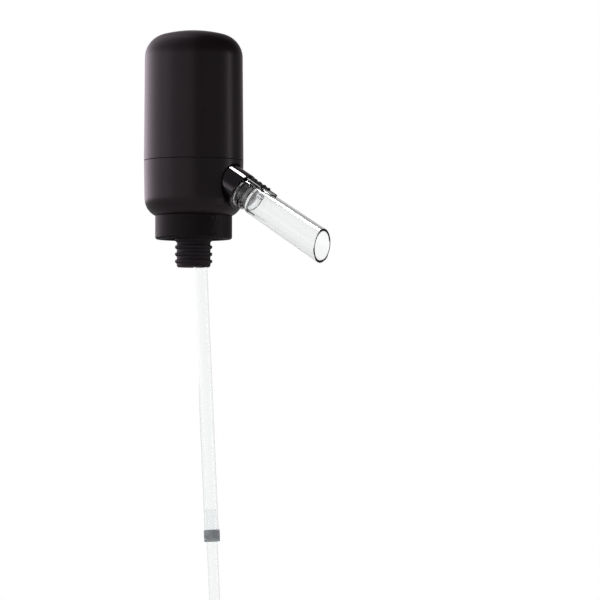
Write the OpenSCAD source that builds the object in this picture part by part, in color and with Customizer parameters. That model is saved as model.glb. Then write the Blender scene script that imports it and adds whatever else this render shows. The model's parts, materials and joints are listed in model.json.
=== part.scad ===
// Electric wine aerator: a battery pump body with a collar and plug for a neck,
// a clear spout that points down and forward, and a clear two-part dip tube.
// Origin: middle of the collar's lower rim. +Z up, the spout points to +X.

/* [Body] */
// Radius of the body at the seam between its two shells
seam_r = 25.1; // [24.6:0.1:28]
// Radius of the upper cover where its shoulder begins
cover_top_r = 24.7; // [24.4:0.1:27]
// Radius of the lower housing where its lower edge starts to round in
housing_low_r = 24.8; // [24.5:0.1:27]
// Height of the seam above the collar's rim
seam_z = 39.7; // [38.5:0.1:46]
// Overall height of the body above the collar's rim
body_h = 105.4; // [104.6:0.1:112]
// Wall thickness of the moulded shells
wall = 2; // [1.6:0.1:2.3]
// Radius of the shallow crown on top
crown_r = 62; // [50:1:80]
// Radius of the shoulder between crown and side
shoulder_r = 12; // [11:0.5:13]
// Radius of the rounded lower edge
toe_r = 9.6; // [8.8:0.1:10]
// Height of the shadow gap between the two shells
seam_gap = 0.5; // [0.3:0.1:1]
// Height of the locating lip above the seam
lip_h = 3.7; // [3:0.1:3.8]
// Thickness of the locating lip
lip_t = 1.7; // [1.5:0.1:1.9]
// Thickness of the lower housing's floor
floor_t = 2.2; // [1.8:0.1:2.6]

/* [Collar and neck plug] */
// Outer radius of the collar
collar_r = 19.4; // [18.8:0.1:20]
// Radius of the collar's bore, which takes the neck's lip
collar_bore_r = 15.6; // [15.4:0.1:15.9]
// Height of the collar
collar_h = 11.9; // [11:0.1:12.5]
// Radius of the sealing ribs, a press fit in a neck bore of 18.5 mm
rib_r = 9.4; // [9.2:0.1:9.8]
// Radius of the plug between its ribs
plug_r = 8.5; // [8.2:0.1:8.8]
// Number of sealing ribs
rib_count = 4; // [2:1:5]
// Width of one rib's flat crest
rib_w = 1.2; // [0.8:0.1:1.6]
// Spacing of the ribs
rib_pitch = 3.6; // [3.3:0.1:4]
// Depth of the plug below the collar's rim
plug_depth = 14; // [13:0.5:18]
// Thickness of the plug's flange, on which the neck's lip rests
flange_t = 2.6; // [2:0.1:3]

/* [Dip tube] */
// Outer radius of the upper tube
tube_r = 3.5; // [3.3:0.1:3.7]
// Wall thickness of both tubes
tube_wall = 0.7; // [0.5:0.05:0.8]
// Length of the upper tube
outer_tube_l = 148; // [130:1:170]
// Length of the sliding lower tube
inner_tube_l = 142; // [132:1:145]
// How far the drawn-out tubes still overlap
tube_overlap = 14; // [10:1:18]
// Lean of the tube towards the spout, in degrees
tube_lean = 3; // [1:0.25:3.5]
// Distance of the tube from the body's axis at the plug's lower end
tube_x = 4; // [3.8:0.1:4.3]
// Radius of the air passage through the plug
air_bore_r = 1.35; // [1.2:0.05:1.4]
// Distance of the air passage from the body's axis
air_x = 5; // [4.8:0.1:5.2]

/* [Spout] */
// Angle of the spout below level, in degrees
spout_pitch = 31.5; // [29:0.5:33]
// Distance of the spout's rear face from the body's axis, measured level
spout_x = 29.4; // [29:0.1:30.5]
// Height of the spout's axis at its rear face
spout_z = 22.9; // [22.2:0.1:23.2]
// Distance of the mouth from the body's axis, on the tube's axis
mouth_x = 75.3; // [68:0.1:86]
// Lean of the mouth's cut from upright, in degrees
mouth_lean = 9; // [0:1:15]
// Outer radius of the tube at its shoulder
spout_r = 7.4; // [7.2:0.05:7.6]
// Outer radius of the tube at its mouth
mouth_r = 7.95; // [7.6:0.05:8.4]
// Wall thickness of the spout's tube
spout_wall = 1.2; // [1:0.05:1.4]
// Outer radius of the hub's rear ring
hub_r = 7.7; // [7.5:0.05:8.2]
// Length of the hub's rear ring
hub_ring_l = 4; // [3.4:0.1:4.4]
// Distance of the tube's shoulder from the hub's rear face
shoulder_s = 7.6; // [7:0.1:8.2]
// Radius of the spigot that carries the spout
spigot_r = 5.9; // [5.6:0.05:6]
// Length of the spigot
spigot_l = 4.6; // [4.5:0.1:5]
// Radius of the jet's nozzle
jet_r = 1.4; // [1.2:0.1:1.6]
// Height of the jet above the tube's axis
jet_up = 3; // [2.4:0.1:3.6]
// Length of the thumb tongue
tongue_l = 17.8; // [16.8:0.1:20]
// Width of the thumb tongue
tongue_w = 7; // [6.4:0.1:8]
// Height of the tongue's top above the tube's axis
tongue_up = 8; // [7.9:0.1:8.6]
// Number of ridges on the thumb grip
ridge_count = 4; // [3:1:5]
// Spacing of the ridges
ridge_pitch = 3.1; // [2.8:0.1:3.2]
// Radius of the glossy socket that the spout plugs on
socket_r = 9.4; // [9:0.1:9.6]
// Radius of the wine passage through socket and spigot
socket_bore_r = 2.6; // [2.2:0.1:3]

/* [Button] */
// Radius of the push button in the crown
button_r = 9; // [8:0.1:9.5]
// Travel of the push button
button_travel = 1; // [0.8:0.05:1.1]
// Width of the gap round the button
button_gap = 0.35; // [0.3:0.05:0.5]
// Wire radius of the button's spring
spring_wire_r = 0.25; // [0.2:0.05:0.3]

/* [Batteries and motor] */
// Radius of one AAA cell
cell_r = 5.25; // [5.1:0.05:5.3]
// Length of one AAA cell over its nub
cell_l = 44.5; // [43.6:0.1:44.6]
// Radius of the circle that the cells stand on
cell_ring_r = 16.3; // [16.2:0.05:16.6]
// Radius of the motor's can
motor_r = 9.9; // [9.4:0.05:9.95]
// Length of the motor's can
motor_l = 25; // [23:0.5:28]
// Radius of the motor's shaft
shaft_r = 1; // [0.8:0.05:1.2]
// Throw of the eccentric that works the air pump
throw = 0.8; // [0.6:0.05:0.9]

/* [Hoses] */
// Outer radius of the wine hose
riser_r = 3; // [2.8:0.1:3.1]
// Bore radius of the wine hose
riser_bore_r = 2; // [1.8:0.05:2.1]
// Bend radius of the wine hose
riser_bend = 8.6; // [8:0.1:8.7]
// Outer radius of the air hose
air_hose_r = 2; // [1.8:0.05:2.2]
// Bore radius of the air hose
air_hose_bore_r = 1.25; // [1.1:0.05:1.3]

/* [Hidden] */
// Clearance of a running fit, on the radius
run_fit = 0.06;
// Clearance between fixed pieces that nest
seat_fit = 0.1;
// Clearance between pieces that pass each other
free_gap = 0.3;
// Clearance of a rubber ring in its groove, and of a pressed piece in its hole
ring_fit = 0.01;
// A cut runs past a face by this much
past = 1;
round_fn = 96;
small_fn = 48;

// Crown and shoulder: the shoulder arc meets the side, and it crosses the crown arc at
// under one degree
crown_z = body_h - crown_r;
shoulder_x = cover_top_r - shoulder_r;
blend_lift = 0.003;
shoulder_z = crown_z + blend_lift + sqrt(pow(crown_r - shoulder_r, 2) - pow(shoulder_x, 2));
cover_z = seam_z + seam_gap / 2;
housing_top_z = seam_z - seam_gap / 2;
seam_bore_r = seam_r - wall;
cover_bore_h = 6;
toe_x = housing_low_r - toe_r;
toe_z = collar_h + sqrt(pow(toe_r, 2) - pow(collar_r - toe_x, 2));
floor_z = collar_h + floor_t;
lip_r = seam_bore_r - free_gap;
lip_bore_r = lip_r - lip_t;
lip_z = housing_top_z + lip_h;
lip_root = 2.2;
oring_r = 0.7;
oring_x = seam_bore_r - run_fit - oring_r;
oring_z = housing_top_z + lip_h / 2;

// Plug
flange_z = collar_h - flange_t;
flange_r = collar_bore_r - free_gap;
boss_r = 7.9;
bead_r = 9;
bead_h = 1.5;
plug_top_z = floor_z + bead_h;
rib_first_z = 3 - plug_depth;
rib_flank = (rib_r - plug_r) * 0.8;
collar_screw_ring = (collar_bore_r + collar_r) / 2 - 0.3;

// Drink line: a straight line through the plug, leaning by tube_lean
plug_grip = 12;
tube_bore_r = tube_r - tube_wall;
slide_r = tube_bore_r - 0.12;
slide_bore_r = slide_r - tube_wall;
tube_top = plug_grip;
tube_end = tube_top - outer_tube_l;
slide_top = tube_end + tube_overlap;
slide_end = slide_top - inner_tube_l;
tip_cut = 35;
tube_seal_r = tube_r + 0.5;
tube_seal_l = 6;
barb_from = plug_grip + 1;
barb_flange_t = plug_depth + plug_top_z + 0.5;
barb_to = barb_flange_t + 7.3;
barb_r = riser_bore_r - 0.03;

// Spout, measured along its own axis from the rear face of the hub
hub_rear = 0.2;
hub_bore_r = spigot_r + run_fit;
partition_s = shoulder_s;
partition_t = 1.1;
neck_r = hub_bore_r + 1;
shoulder_round = 0.8;
tube_s = shoulder_s;
spout_len = (mouth_x - spout_x) / cos(spout_pitch);
spout_over = 6;
tube_cone_l = spout_len + spout_over - tube_s;
jet_s = 3;
tongue_tip_t = 0.9;
tongue_slope_l = 6.5;
socket_back = 20.5;
socket_in = (spout_x - socket_back) / cos(spout_pitch);
barb_in = 5.6;
socket_cut_r = socket_r + seat_fit;
saddle_r = socket_r + 1.6;
saddle_t = 1.6;
recess_r = socket_r + 0.9;
recess_depth = 0.4;
spigot_grooves = [0.9, 1.7, spigot_l - 0.5];
spigot_groove_r = 0.3;
spigot_oring_s = 2.9;
spigot_oring_r = 0.6;
spigot_oring_x = spigot_r + run_fit / 3 - spigot_oring_r;
grip_s = 0.6;
grip_w = tongue_w - 2.4;
grip_base = 0.4;
ridge_h = 0.45;
grip_l = ridge_count * ridge_pitch;

// Self-tapping screws in two sizes: thread, hole, clear hole and head
screw_r = 0.85;
screw_hole_r = screw_r + 0.05;
screw_pass_r = screw_r + 0.3;
screw_head_r = 2 * screw_r;
screw_head_h = 1.2;
screw_well_r = 3;
small_screw_r = 0.75;
small_hole_r = small_screw_r + 0.05;
small_pass_r = small_screw_r + 0.2;
small_head_r = 2 * small_screw_r;
small_head_h = 0.9;
// How deep the screws bite, and the spare depth of their holes
collar_bite = 5.5;
carrier_bite = 7;
cap_bite = 6;
guide_bite = 2;
board_bite = 1.8;
bite_spare = 1.5;

// Bend of the wine hose: an arc that touches the drink line and the spout's axis
drink_dir = [-sin(tube_lean), cos(tube_lean)];
drink_side = [cos(tube_lean), sin(tube_lean)];
spout_dir = [cos(spout_pitch), -sin(spout_pitch)];
spout_side = [-sin(spout_pitch), -cos(spout_pitch)];
bend_q = [tube_x - spout_x, -plug_depth - spout_z]
    + riser_bend * (drink_side - spout_side);
bend_det = drink_dir[1] * spout_dir[0] - drink_dir[0] * spout_dir[1];
bend_up = (bend_q[0] * spout_dir[1] - bend_q[1] * spout_dir[0]) / bend_det;
bend_turn = 90 + tube_lean + spout_pitch;
bend_centre = [tube_x, -plug_depth] + bend_up * drink_dir + riser_bend * drink_side;
riser_steps = 14;
riser_sides = 16;
// Rings of the wine hose: [middle in the XZ plane, angle of the outward side]
riser_path = concat(
    [[
        [tube_x, -plug_depth] + (barb_flange_t + 1.05) * drink_dir,
        180 + tube_lean
    ]],
    [
        for (i = [0 : riser_steps])
            let (a = 180 + tube_lean - bend_turn * i / riser_steps)
            [bend_centre + riser_bend * [cos(a), sin(a)], a]
    ],
    [[
        [spout_x, spout_z] - (socket_in + 0.2) * spout_dir,
        90 - spout_pitch
    ]]
);

// Battery carrier and motor
deck_z = lip_z + 0.35;
deck_t = 1.6;
deck_r = seam_bore_r - 0.8;
deck_top = deck_z + deck_t;
contact_t = 0.4;
contact_half_w = 2.6;
top_contact_half_w = 2.2;
contact_over = 5;
leaf_h = 1.6;
cell_z = deck_top + contact_t + leaf_h;
cell_end = cell_z + cell_l;
cap_z = cell_end + contact_t;
cap_t = 1.6;
cap_r = cell_ring_r + cell_r;
cap_hole_r = 4.5;
cell_count = 6;
cell_step = 360 / cell_count;
cell_turn = cell_step / 2;
sleeve_r = cell_ring_r - cell_r - 0.15;
rib_t = 1.6;
pillar_r = 2;
pillar_ring = cell_ring_r + 3.2;
post_r = 2.6;
post_ring = lip_bore_r - 2.1;
motor_front_r = 3.1;
motor_screw_at = 6.4;
motor_wall = 0.8;
magnet_t = 1.6;
magnet_in = 5;
armature_in = 6;
armature_r = motor_r - motor_wall - magnet_t - 0.4;
rear_cap_t = 2;
terminal_h = 2.2;
motor_rear = deck_top + motor_l;
shaft_end = motor_rear + rear_cap_t / 2;

// Air pump under the deck
pump_z = deck_z - 6;
cam_h = 2.6;
cam_r = throw + shaft_r + 1.1;
rod_bore_r = cam_r + run_fit;
rod_ring_r = rod_bore_r + 1.3;
rod_h = 2.2;
foot_r = 2.5;
foot_t = 1;
foot_x = -(throw + rod_ring_r + 6.2);
pump_side = 11.6;
dia_t = 0.8;
dia_boss = 0.5;
dia_x = foot_x - free_gap - dia_boss;
frame_t = 1.8;
frame_hole_r = 3.9;
valve_t = 1.3;
head_l = 5.2;
head_x = dia_x - dia_t - valve_t;
pump_screw_at = pump_side / 2 - 1.2;
outlet_x = head_x - 1.9;
ear_w = 4.4;
ear_l = 6;
ear_t = 1.8;
ear_y = pump_side / 2 + ear_w / 2;
air_barb_r = air_hose_bore_r - 0.03;
air_barb_z = plug_top_z + 0.1;
air_barb_top = air_barb_z + 3.2;
air_bend = (-air_x - outlet_x) / 2;
air_low_z = air_barb_top + 0.4;
air_high_z = air_low_z + 2 * air_bend;
head_low_z = pump_z - pump_side / 2;

// Switch board, button and its guide
board_z = cap_z + cap_t + 0.8;
board_t = 1.4;
board_r = 13;
board_post_ring = 9.5;
switch_side = 6;
switch_h = 1.7;
plunger_r = 1.6;
plunger_z = board_z + board_t + button_travel + 0.15;
plunger_top = board_z + board_t + switch_h + 0.9;
stem_r = 1.6;
stem_z = plunger_top + 0.2;
guide_t = 1;
guide_boss_r = 2.3;
guide_screw_ring = 15.8;
crown_bore_r = crown_r - wall;
guide_boss_top = crown_z + 0.3
    + sqrt(pow(crown_bore_r, 2) - pow(guide_screw_ring - guide_boss_r, 2));
guide_screw_l = guide_t + guide_bite;
button_hole_r = button_r + button_gap;
button_top_z = crown_z + crown_r;
button_roof = 1.8;
button_wall = 1.4;
button_lip = 1.3;
button_lip_t = 0.8;
hole_edge_z = crown_z + sqrt(pow(crown_bore_r, 2) - pow(button_hole_r + button_lip, 2));
button_lip_z = hole_edge_z - 0.15 - button_lip_t;
guide_top = button_lip_z - button_travel - free_gap;
guide_z = guide_top - guide_t;
spring_r = 4.4;
spring_turns = 3;
spring_sides = 6;
spring_steps = 12;
spring_z = guide_top + spring_wire_r;
spring_top = button_top_z - button_roof - spring_wire_r;

// Places its children on the spout's axis: +Z runs out of the mouth, +X is the upper side
module on_spout() {
    translate([spout_x, 0, spout_z])
        rotate([0, 90 + spout_pitch, 0])
            rotate([0, 0, 180])
                children();
}

// Places its children on the drink line: z = 0 at the plug's lower end
module on_drink_line() {
    translate([tube_x, 0, -plug_depth])
        rotate([0, -tube_lean, 0])
            children();
}

// Turns a drawing so that its x is a radius and its y is a height, all the way round
module turned(fn = round_fn) {
    rotate_extrude($fn = fn) children();
}

// A tube with a bore through it
module pipe(r, bore, z0, z1, fn = small_fn) {
    difference() {
        translate([0, 0, z0])
            cylinder(r = r, h = z1 - z0, $fn = fn);
        translate([0, 0, z0 - past])
            cylinder(r = bore, h = z1 - z0 + 2 * past, $fn = fn);
    }
}

// A rubber ring of round section
module rubber_ring(r, section, z) {
    translate([0, 0, z])
        turned()
            translate([r, 0])
                circle(r = section, $fn = 24);
}

// A pan-head screw that points down, with its seat at z = 0
module screw(r, l, head_r, head_h) {
    difference() {
        union() {
            translate([0, 0, -l])
                cylinder(r = r, h = l + past / 10, $fn = 24);
            cylinder(r = head_r, h = head_h, $fn = 24);
        }
        translate([0, 0, head_h - 0.5])
            cylinder(r = head_r * 0.45, h = past, $fn = 6);
    }
}

// Copies at equal steps round the body's axis
module ring_of(count, r, first = 0) {
    for (i = [0 : count - 1])
        rotate([0, 0, first + i * 360 / count])
            translate([r, 0, 0])
                children();
}

// The four places of the posts that carry the battery carrier
module at_posts() {
    for (a = [60, 120, 240, 300])
        rotate([0, 0, a])
            translate([post_ring, 0, 0])
                children();
}

// Half outline of the upper cover, drawn in by an inset
module cover_outline(inset) {
    blend_x = shoulder_x * (crown_r - inset) / (crown_r - shoulder_r);
    intersection() {
        union() {
            polygon([
                [0, cover_z], [seam_r - inset, cover_z],
                [cover_top_r - inset, shoulder_z], [0, shoulder_z]
            ]);
            intersection() {
                translate([shoulder_x, shoulder_z])
                    circle(r = shoulder_r - inset, $fn = round_fn);
                translate([0, shoulder_z])
                    square([seam_r, shoulder_r]);
            }
            translate([0, shoulder_z])
                square([blend_x, shoulder_r + past]);
        }
        translate([0, crown_z])
            circle(r = crown_r - inset, $fn = 4 * round_fn);
    }
}

// Upper shell of the body, with the crown's button hole and the guide's bosses
module upper_cover() {
    color("#2b292b")
    difference() {
        union() {
            difference() {
                turned(2 * round_fn) cover_outline(0);
                turned(2 * round_fn) cover_outline(wall);
                translate([0, 0, cover_z - past])
                    cylinder(r = seam_bore_r, h = cover_bore_h + past, $fn = round_fn);
            }
            ring_of(3, guide_screw_ring)
                translate([0, 0, guide_top])
                    cylinder(r = guide_boss_r, h = guide_boss_top - guide_top, $fn = small_fn);
        }
        translate([0, 0, shoulder_z])
            cylinder(r = button_hole_r, h = body_h, $fn = round_fn);
        ring_of(3, guide_screw_ring)
            translate([0, 0, guide_z])
                cylinder(r = small_hole_r, h = guide_screw_l + 0.2, $fn = small_fn);
    }
}

// Push button: a cap with a lip that stops under the crown and a stem to the switch
module push_button() {
    skirt_h = body_h - button_lip_z + past;
    color("#232124")
    difference() {
        union() {
            intersection() {
                translate([0, 0, button_lip_z])
                    cylinder(r = button_r, h = skirt_h, $fn = round_fn);
                translate([0, 0, crown_z])
                    sphere(r = crown_r, $fn = 2 * round_fn);
            }
            translate([0, 0, button_lip_z])
                cylinder(r = button_hole_r + button_lip, h = button_lip_t, $fn = round_fn);
        }
        translate([0, 0, button_lip_z - past])
            cylinder(
                r = button_r - button_wall,
                h = button_top_z - button_roof - button_lip_z + past,
                $fn = round_fn
            );
    }
    color("#232124")
    translate([0, 0, stem_z])
        cylinder(r = stem_r, h = button_top_z - button_roof / 2 - stem_z, $fn = small_fn);
}

// Points of one ring of the spring's wire, at a step along its turns
function wire_ring(step) =
    let (
        turn = step / spring_steps * 360,
        z = spring_z + (spring_top - spring_z) * step / (spring_steps * spring_turns)
    )
    [
        for (k = [0 : spring_sides - 1])
            let (
                r = spring_r + spring_wire_r * cos(k * 360 / spring_sides),
                up = spring_wire_r * sin(k * 360 / spring_sides)
            )
            [r * cos(turn), r * sin(turn), z + up]
    ];

// Return spring of the button, one coiled wire
module button_spring() {
    rings = spring_steps * spring_turns;
    points = [for (i = [0 : rings]) each wire_ring(i)];
    sides = [
        for (i = [0 : rings - 1])
            for (k = [0 : spring_sides - 1])
                let (
                    a = i * spring_sides + k,
                    b = i * spring_sides + (k + 1) % spring_sides
                )
                each [
                    [a, a + spring_sides, b],
                    [b, a + spring_sides, b + spring_sides]
                ]
    ];
    start = [for (k = [0 : spring_sides - 1]) k];
    finish = [for (k = [spring_sides - 1 : -1 : 0]) rings * spring_sides + k];
    color("#c9ccd0")
    polyhedron(points = points, faces = concat(sides, [start, finish]));
}

// Plate under the crown that guides the button's stem and carries its spring
module button_guide() {
    color("#c8c8c2")
    difference() {
        union() {
            translate([0, 0, guide_z])
                cylinder(r = spring_r + 2.4, h = guide_t, $fn = round_fn);
            for (a = [0, 120, 240])
                rotate([0, 0, a])
                    translate([0, -guide_boss_r, guide_z])
                        cube([guide_screw_ring, 2 * guide_boss_r, guide_t]);
            ring_of(3, guide_screw_ring)
                translate([0, 0, guide_z])
                    cylinder(r = guide_boss_r, h = guide_t, $fn = small_fn);
        }
        translate([0, 0, guide_z - past])
            cylinder(r = stem_r + run_fit, h = guide_t + 2 * past, $fn = small_fn);
        ring_of(3, guide_screw_ring)
            translate([0, 0, guide_z - past])
                cylinder(r = small_pass_r, h = guide_t + 2 * past, $fn = small_fn);
    }
}

// Three screws that hold the guide plate up against the cover's bosses
module guide_screws() {
    color("#b9bcc0")
    ring_of(3, guide_screw_ring)
        translate([0, 0, guide_z])
            rotate([180, 0, 0])
                screw(small_screw_r, guide_screw_l, small_head_r, small_head_h);
}

// Half outline of the lower housing, drawn in by an inset
module housing_outline(inset) {
    intersection() {
        union() {
            polygon([
                [0, toe_z], [housing_low_r - inset, toe_z],
                [seam_r - inset, housing_top_z], [0, housing_top_z]
            ]);
            translate([toe_x, toe_z])
                circle(r = toe_r - inset, $fn = round_fn);
            translate([0, toe_z - toe_r + inset])
                square([toe_x, toe_r - inset]);
        }
        translate([0, inset > 0 ? floor_z : collar_h])
            square([seam_r, housing_top_z]);
    }
}

// Lower shell of the body: floor, socket hole, locating lip and four posts
module lower_housing() {
    color("#242224")
    difference() {
        union() {
            difference() {
                turned(2 * round_fn) housing_outline(0);
                turned(2 * round_fn) housing_outline(wall);
            }
            turned() {
                polygon([
                    [lip_bore_r, housing_top_z - lip_root], [lip_bore_r, lip_z],
                    [lip_r, lip_z], [lip_r, housing_top_z - 0.01],
                    [seam_r - wall / 2, housing_top_z - 0.01],
                    [seam_r - wall / 2, housing_top_z - lip_root - lip_t - 0.5]
                ]);
            }
            at_posts()
                translate([0, 0, floor_z - 0.01])
                    cylinder(r = post_r, h = deck_z - floor_z + 0.01, $fn = small_fn);
        }
        rubber_ring(oring_x, oring_r + ring_fit, oring_z);
        translate([0, 0, collar_h - past])
            cylinder(r = boss_r + seat_fit, h = floor_t + 2 * past, $fn = round_fn);
        on_spout()
            translate([0, 0, -2 * socket_in])
                cylinder(r = socket_cut_r, h = 2 * socket_in, $fn = round_fn);
        intersection() {
            on_spout()
                translate([0, 0, -socket_in])
                    cylinder(r = recess_r, h = socket_in, $fn = round_fn);
            difference() {
                translate([0, 0, collar_h])
                    cylinder(r = seam_r + 5, h = seam_z, $fn = round_fn);
                translate([0, 0, collar_h - past])
                    cylinder(
                        r = housing_low_r - recess_depth,
                        h = seam_z + 2 * past,
                        $fn = 2 * round_fn
                    );
            }
        }
        at_posts()
            translate([0, 0, deck_z - carrier_bite - bite_spare])
                cylinder(
                    r = screw_hole_r,
                    h = carrier_bite + bite_spare + past,
                    $fn = small_fn
                );
        ring_of(3, collar_screw_ring, 30)
            translate([0, 0, collar_h - past])
                cylinder(r = screw_pass_r, h = floor_t + 2 * past, $fn = small_fn);
    }
}

// Rubber ring in the lip's groove, which seals the seam
module seam_ring() {
    color("#1a1a1a")
    rubber_ring(oring_x, oring_r, oring_z);
}

// Collar that goes over the neck, with a softly rounded rim
module collar() {
    rim = 1.2;
    color("#1e1c1d")
    difference() {
        turned() {
            union() {
                translate([collar_bore_r, rim])
                    square([collar_r - collar_bore_r, collar_h - rim]);
                translate([collar_bore_r + rim, 0])
                    square([collar_r - collar_bore_r - 2 * rim, rim + 0.01]);
                for (x = [collar_bore_r + rim, collar_r - rim])
                    translate([x, rim])
                        circle(r = rim, $fn = small_fn);
            }
        }
        ring_of(3, collar_screw_ring, 30)
            translate([0, 0, collar_h - collar_bite - bite_spare])
                cylinder(
                    r = screw_hole_r,
                    h = collar_bite + bite_spare + past,
                    $fn = small_fn
                );
    }
}

// Three screws from the housing's floor into the collar
module collar_screws() {
    color("#b9bcc0")
    ring_of(3, collar_screw_ring, 30)
        translate([0, 0, floor_z])
            screw(screw_r, floor_t + collar_bite, screw_head_r, screw_head_h);
}

// Outline of the neck plug with its sealing ribs, which are sharp above and sloped below
module plug_outline() {
    union() {
        translate([0, -plug_depth])
            square([plug_r, plug_depth + flange_z + 0.01]);
        for (i = [0 : rib_count - 1])
            translate([0, rib_first_z + i * rib_pitch])
                polygon([
                    [plug_r - 0.5, -rib_w / 2 - rib_flank],
                    [plug_r, -rib_w / 2 - rib_flank],
                    [rib_r, -rib_w / 2], [rib_r, rib_w / 2],
                    [plug_r, rib_w / 2 + rib_flank / 3],
                    [plug_r - 0.5, rib_w / 2 + rib_flank / 3]
                ]);
        translate([0, flange_z])
            square([flange_r, flange_t]);
        translate([0, collar_h - 0.01])
            square([boss_r, floor_t + bead_h + 0.01]);
        polygon([
            [0, floor_z + 0.05], [bead_r, floor_z + 0.05],
            [bead_r, floor_z + bead_h * 0.4], [boss_r, plug_top_z], [0, plug_top_z]
        ]);
    }
}

// Silicone plug that seals the neck, with its drink bore and air bore
module neck_plug() {
    color("#2d2c2e")
    difference() {
        turned() plug_outline();
        on_drink_line() {
            translate([0, 0, -past])
                cylinder(r = tube_r + 0.02, h = plug_grip + past, $fn = small_fn);
            translate([0, 0, plug_grip - 0.01])
                cylinder(r = riser_bore_r + 0.02, h = barb_to, $fn = small_fn);
        }
        translate([-air_x, 0, -plug_depth - past])
            cylinder(r = air_bore_r, h = plug_depth + plug_top_z + 2 * past, $fn = small_fn);
    }
}

// Glossy socket: a saddle inside the wall, a hose barb, and a spigot for the spout
module spout_socket() {
    color("#161517")
    difference() {
        union() {
            on_spout() {
                translate([0, 0, -0.01])
                    cylinder(r = spigot_r, h = spigot_l + 0.01, $fn = round_fn);
                translate([0, 0, -socket_in - barb_in])
                    cylinder(r = barb_r, h = barb_in + 0.01, $fn = small_fn);
            }
            difference() {
                intersection() {
                    on_spout()
                        translate([0, 0, -2 * socket_in])
                            cylinder(r = socket_r, h = 2 * socket_in, $fn = round_fn);
                    translate([socket_back, -2 * socket_r, 0])
                        cube([spout_x, 4 * socket_r, 2 * spout_z]);
                }
                hose_seat();
            }
            difference() {
                intersection() {
                    on_spout()
                        translate([0, 0, -2 * socket_in])
                            cylinder(r = saddle_r, h = 2 * socket_in, $fn = round_fn);
                    translate([0, 0, toe_z])
                        pipe_at(
                            housing_low_r - wall - seat_fit,
                            housing_low_r - wall - seat_fit - saddle_t,
                            housing_top_z - lip_root - lip_t - 1 - toe_z
                        );
                }
                hose_seat();
            }
        }
        on_spout() {
            translate([0, 0, -socket_in + 2])
                cylinder(r = socket_bore_r, h = socket_in + spigot_l, $fn = small_fn);
            translate([0, 0, -socket_in - barb_in - past])
                cylinder(r = barb_r - 0.7, h = socket_in, $fn = small_fn);
            rubber_ring(spigot_oring_x, spigot_oring_r + ring_fit, spigot_oring_s);
            for (s = spigot_grooves)
                rubber_ring(spigot_r, spigot_groove_r, s);
        }
    }
}

// Room for the hose's end behind the socket
module hose_seat() {
    on_spout()
        translate([0, 0, -2 * socket_in])
            cylinder(r = riser_r + seat_fit, h = socket_in, $fn = small_fn);
}

// A plain pipe that starts at z = 0
module pipe_at(r, bore, h) {
    pipe(r, bore, 0, h, 2 * round_fn);
}

// Rubber ring on the spigot, just proud of it, which seals the spout's hub
module spigot_ring() {
    color("#101010")
    on_spout()
        rubber_ring(spigot_oring_x, spigot_oring_r, spigot_oring_s);
}

// Clear spout: hub, shoulder, widening tube with a jet, and the thumb tongue
module spout() {
    color("#e8eef0", 0.4)
    difference() {
        union() {
            on_spout() {
                translate([0, 0, hub_rear])
                    cylinder(r = hub_r, h = hub_ring_l, $fn = round_fn);
                translate([0, 0, hub_rear])
                    cylinder(r = neck_r, h = tube_s + 1, $fn = round_fn);
                translate([0, 0, tube_s + shoulder_round])
                    cylinder(
                        r1 = spout_r,
                        r2 = mouth_r,
                        h = tube_cone_l - shoulder_round,
                        $fn = round_fn
                    );
                translate([0, 0, tube_s + shoulder_round])
                    turned()
                        shoulder_outline();
                tongue();
            }
        }
        on_spout() {
            translate([0, 0, hub_rear - past])
                cylinder(r = hub_bore_r, h = partition_s - hub_rear + past, $fn = round_fn);
            translate([0, 0, partition_s + partition_t])
                cylinder(
                    r1 = spout_r - spout_wall,
                    r2 = mouth_r - spout_wall,
                    h = tube_cone_l,
                    $fn = round_fn
                );
            translate([jet_up, 0, 0])
                cylinder(r = jet_r / 2, h = partition_s + jet_s + 2 * past, $fn = small_fn);
        }
        translate([mouth_x, 0, spout_z - (mouth_x - spout_x) * tan(spout_pitch)])
            rotate([0, mouth_lean, 0])
                translate([0, -2 * mouth_r, -spout_len])
                    cube([spout_len, 4 * mouth_r, 2 * spout_len]);
    }
    color("#e8eef0", 0.4)
    on_spout()
        translate([jet_up, 0, partition_s + partition_t - 0.01])
            pipe(jet_r, jet_r / 2, 0, jet_s, small_fn);
}

// Rounded edge of the spout's shoulder
module shoulder_outline() {
    intersection() {
        union() {
            translate([spout_r - shoulder_round, 0])
                circle(r = shoulder_round, $fn = small_fn);
            translate([0, -shoulder_round])
                square([spout_r - shoulder_round, shoulder_round]);
        }
        translate([0, -shoulder_round])
            square([spout_r, shoulder_round + 0.01]);
    }
}

// Thumb tongue on the upper side of the hub, a wedge with a round tip
module tongue() {
    intersection() {
        translate([0, tongue_w / 2, 0])
            rotate([90, 0, 0])
                linear_extrude(height = tongue_w)
                    polygon([
                        [hub_bore_r + 0.4, hub_rear], [tongue_up, hub_rear],
                        [tongue_up, tongue_l], [tongue_up - tongue_tip_t, tongue_l],
                        [spout_r - 0.4, tongue_l - tongue_slope_l], [hub_bore_r + 0.4, tube_s]
                    ]);
        rotate([0, 90, 0])
            rotate([0, 0, 90])
                linear_extrude(height = tongue_up + past)
                    tongue_plan(tongue_w, hub_rear, tongue_l);
    }
}

// Plan of a tongue that is square at one end and round at the other
module tongue_plan(w, s0, s1) {
    translate([-w / 2, s0])
        square([w, s1 - s0 - w / 2]);
    translate([0, s1 - w / 2])
        circle(d = w, $fn = small_fn);
}

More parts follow.
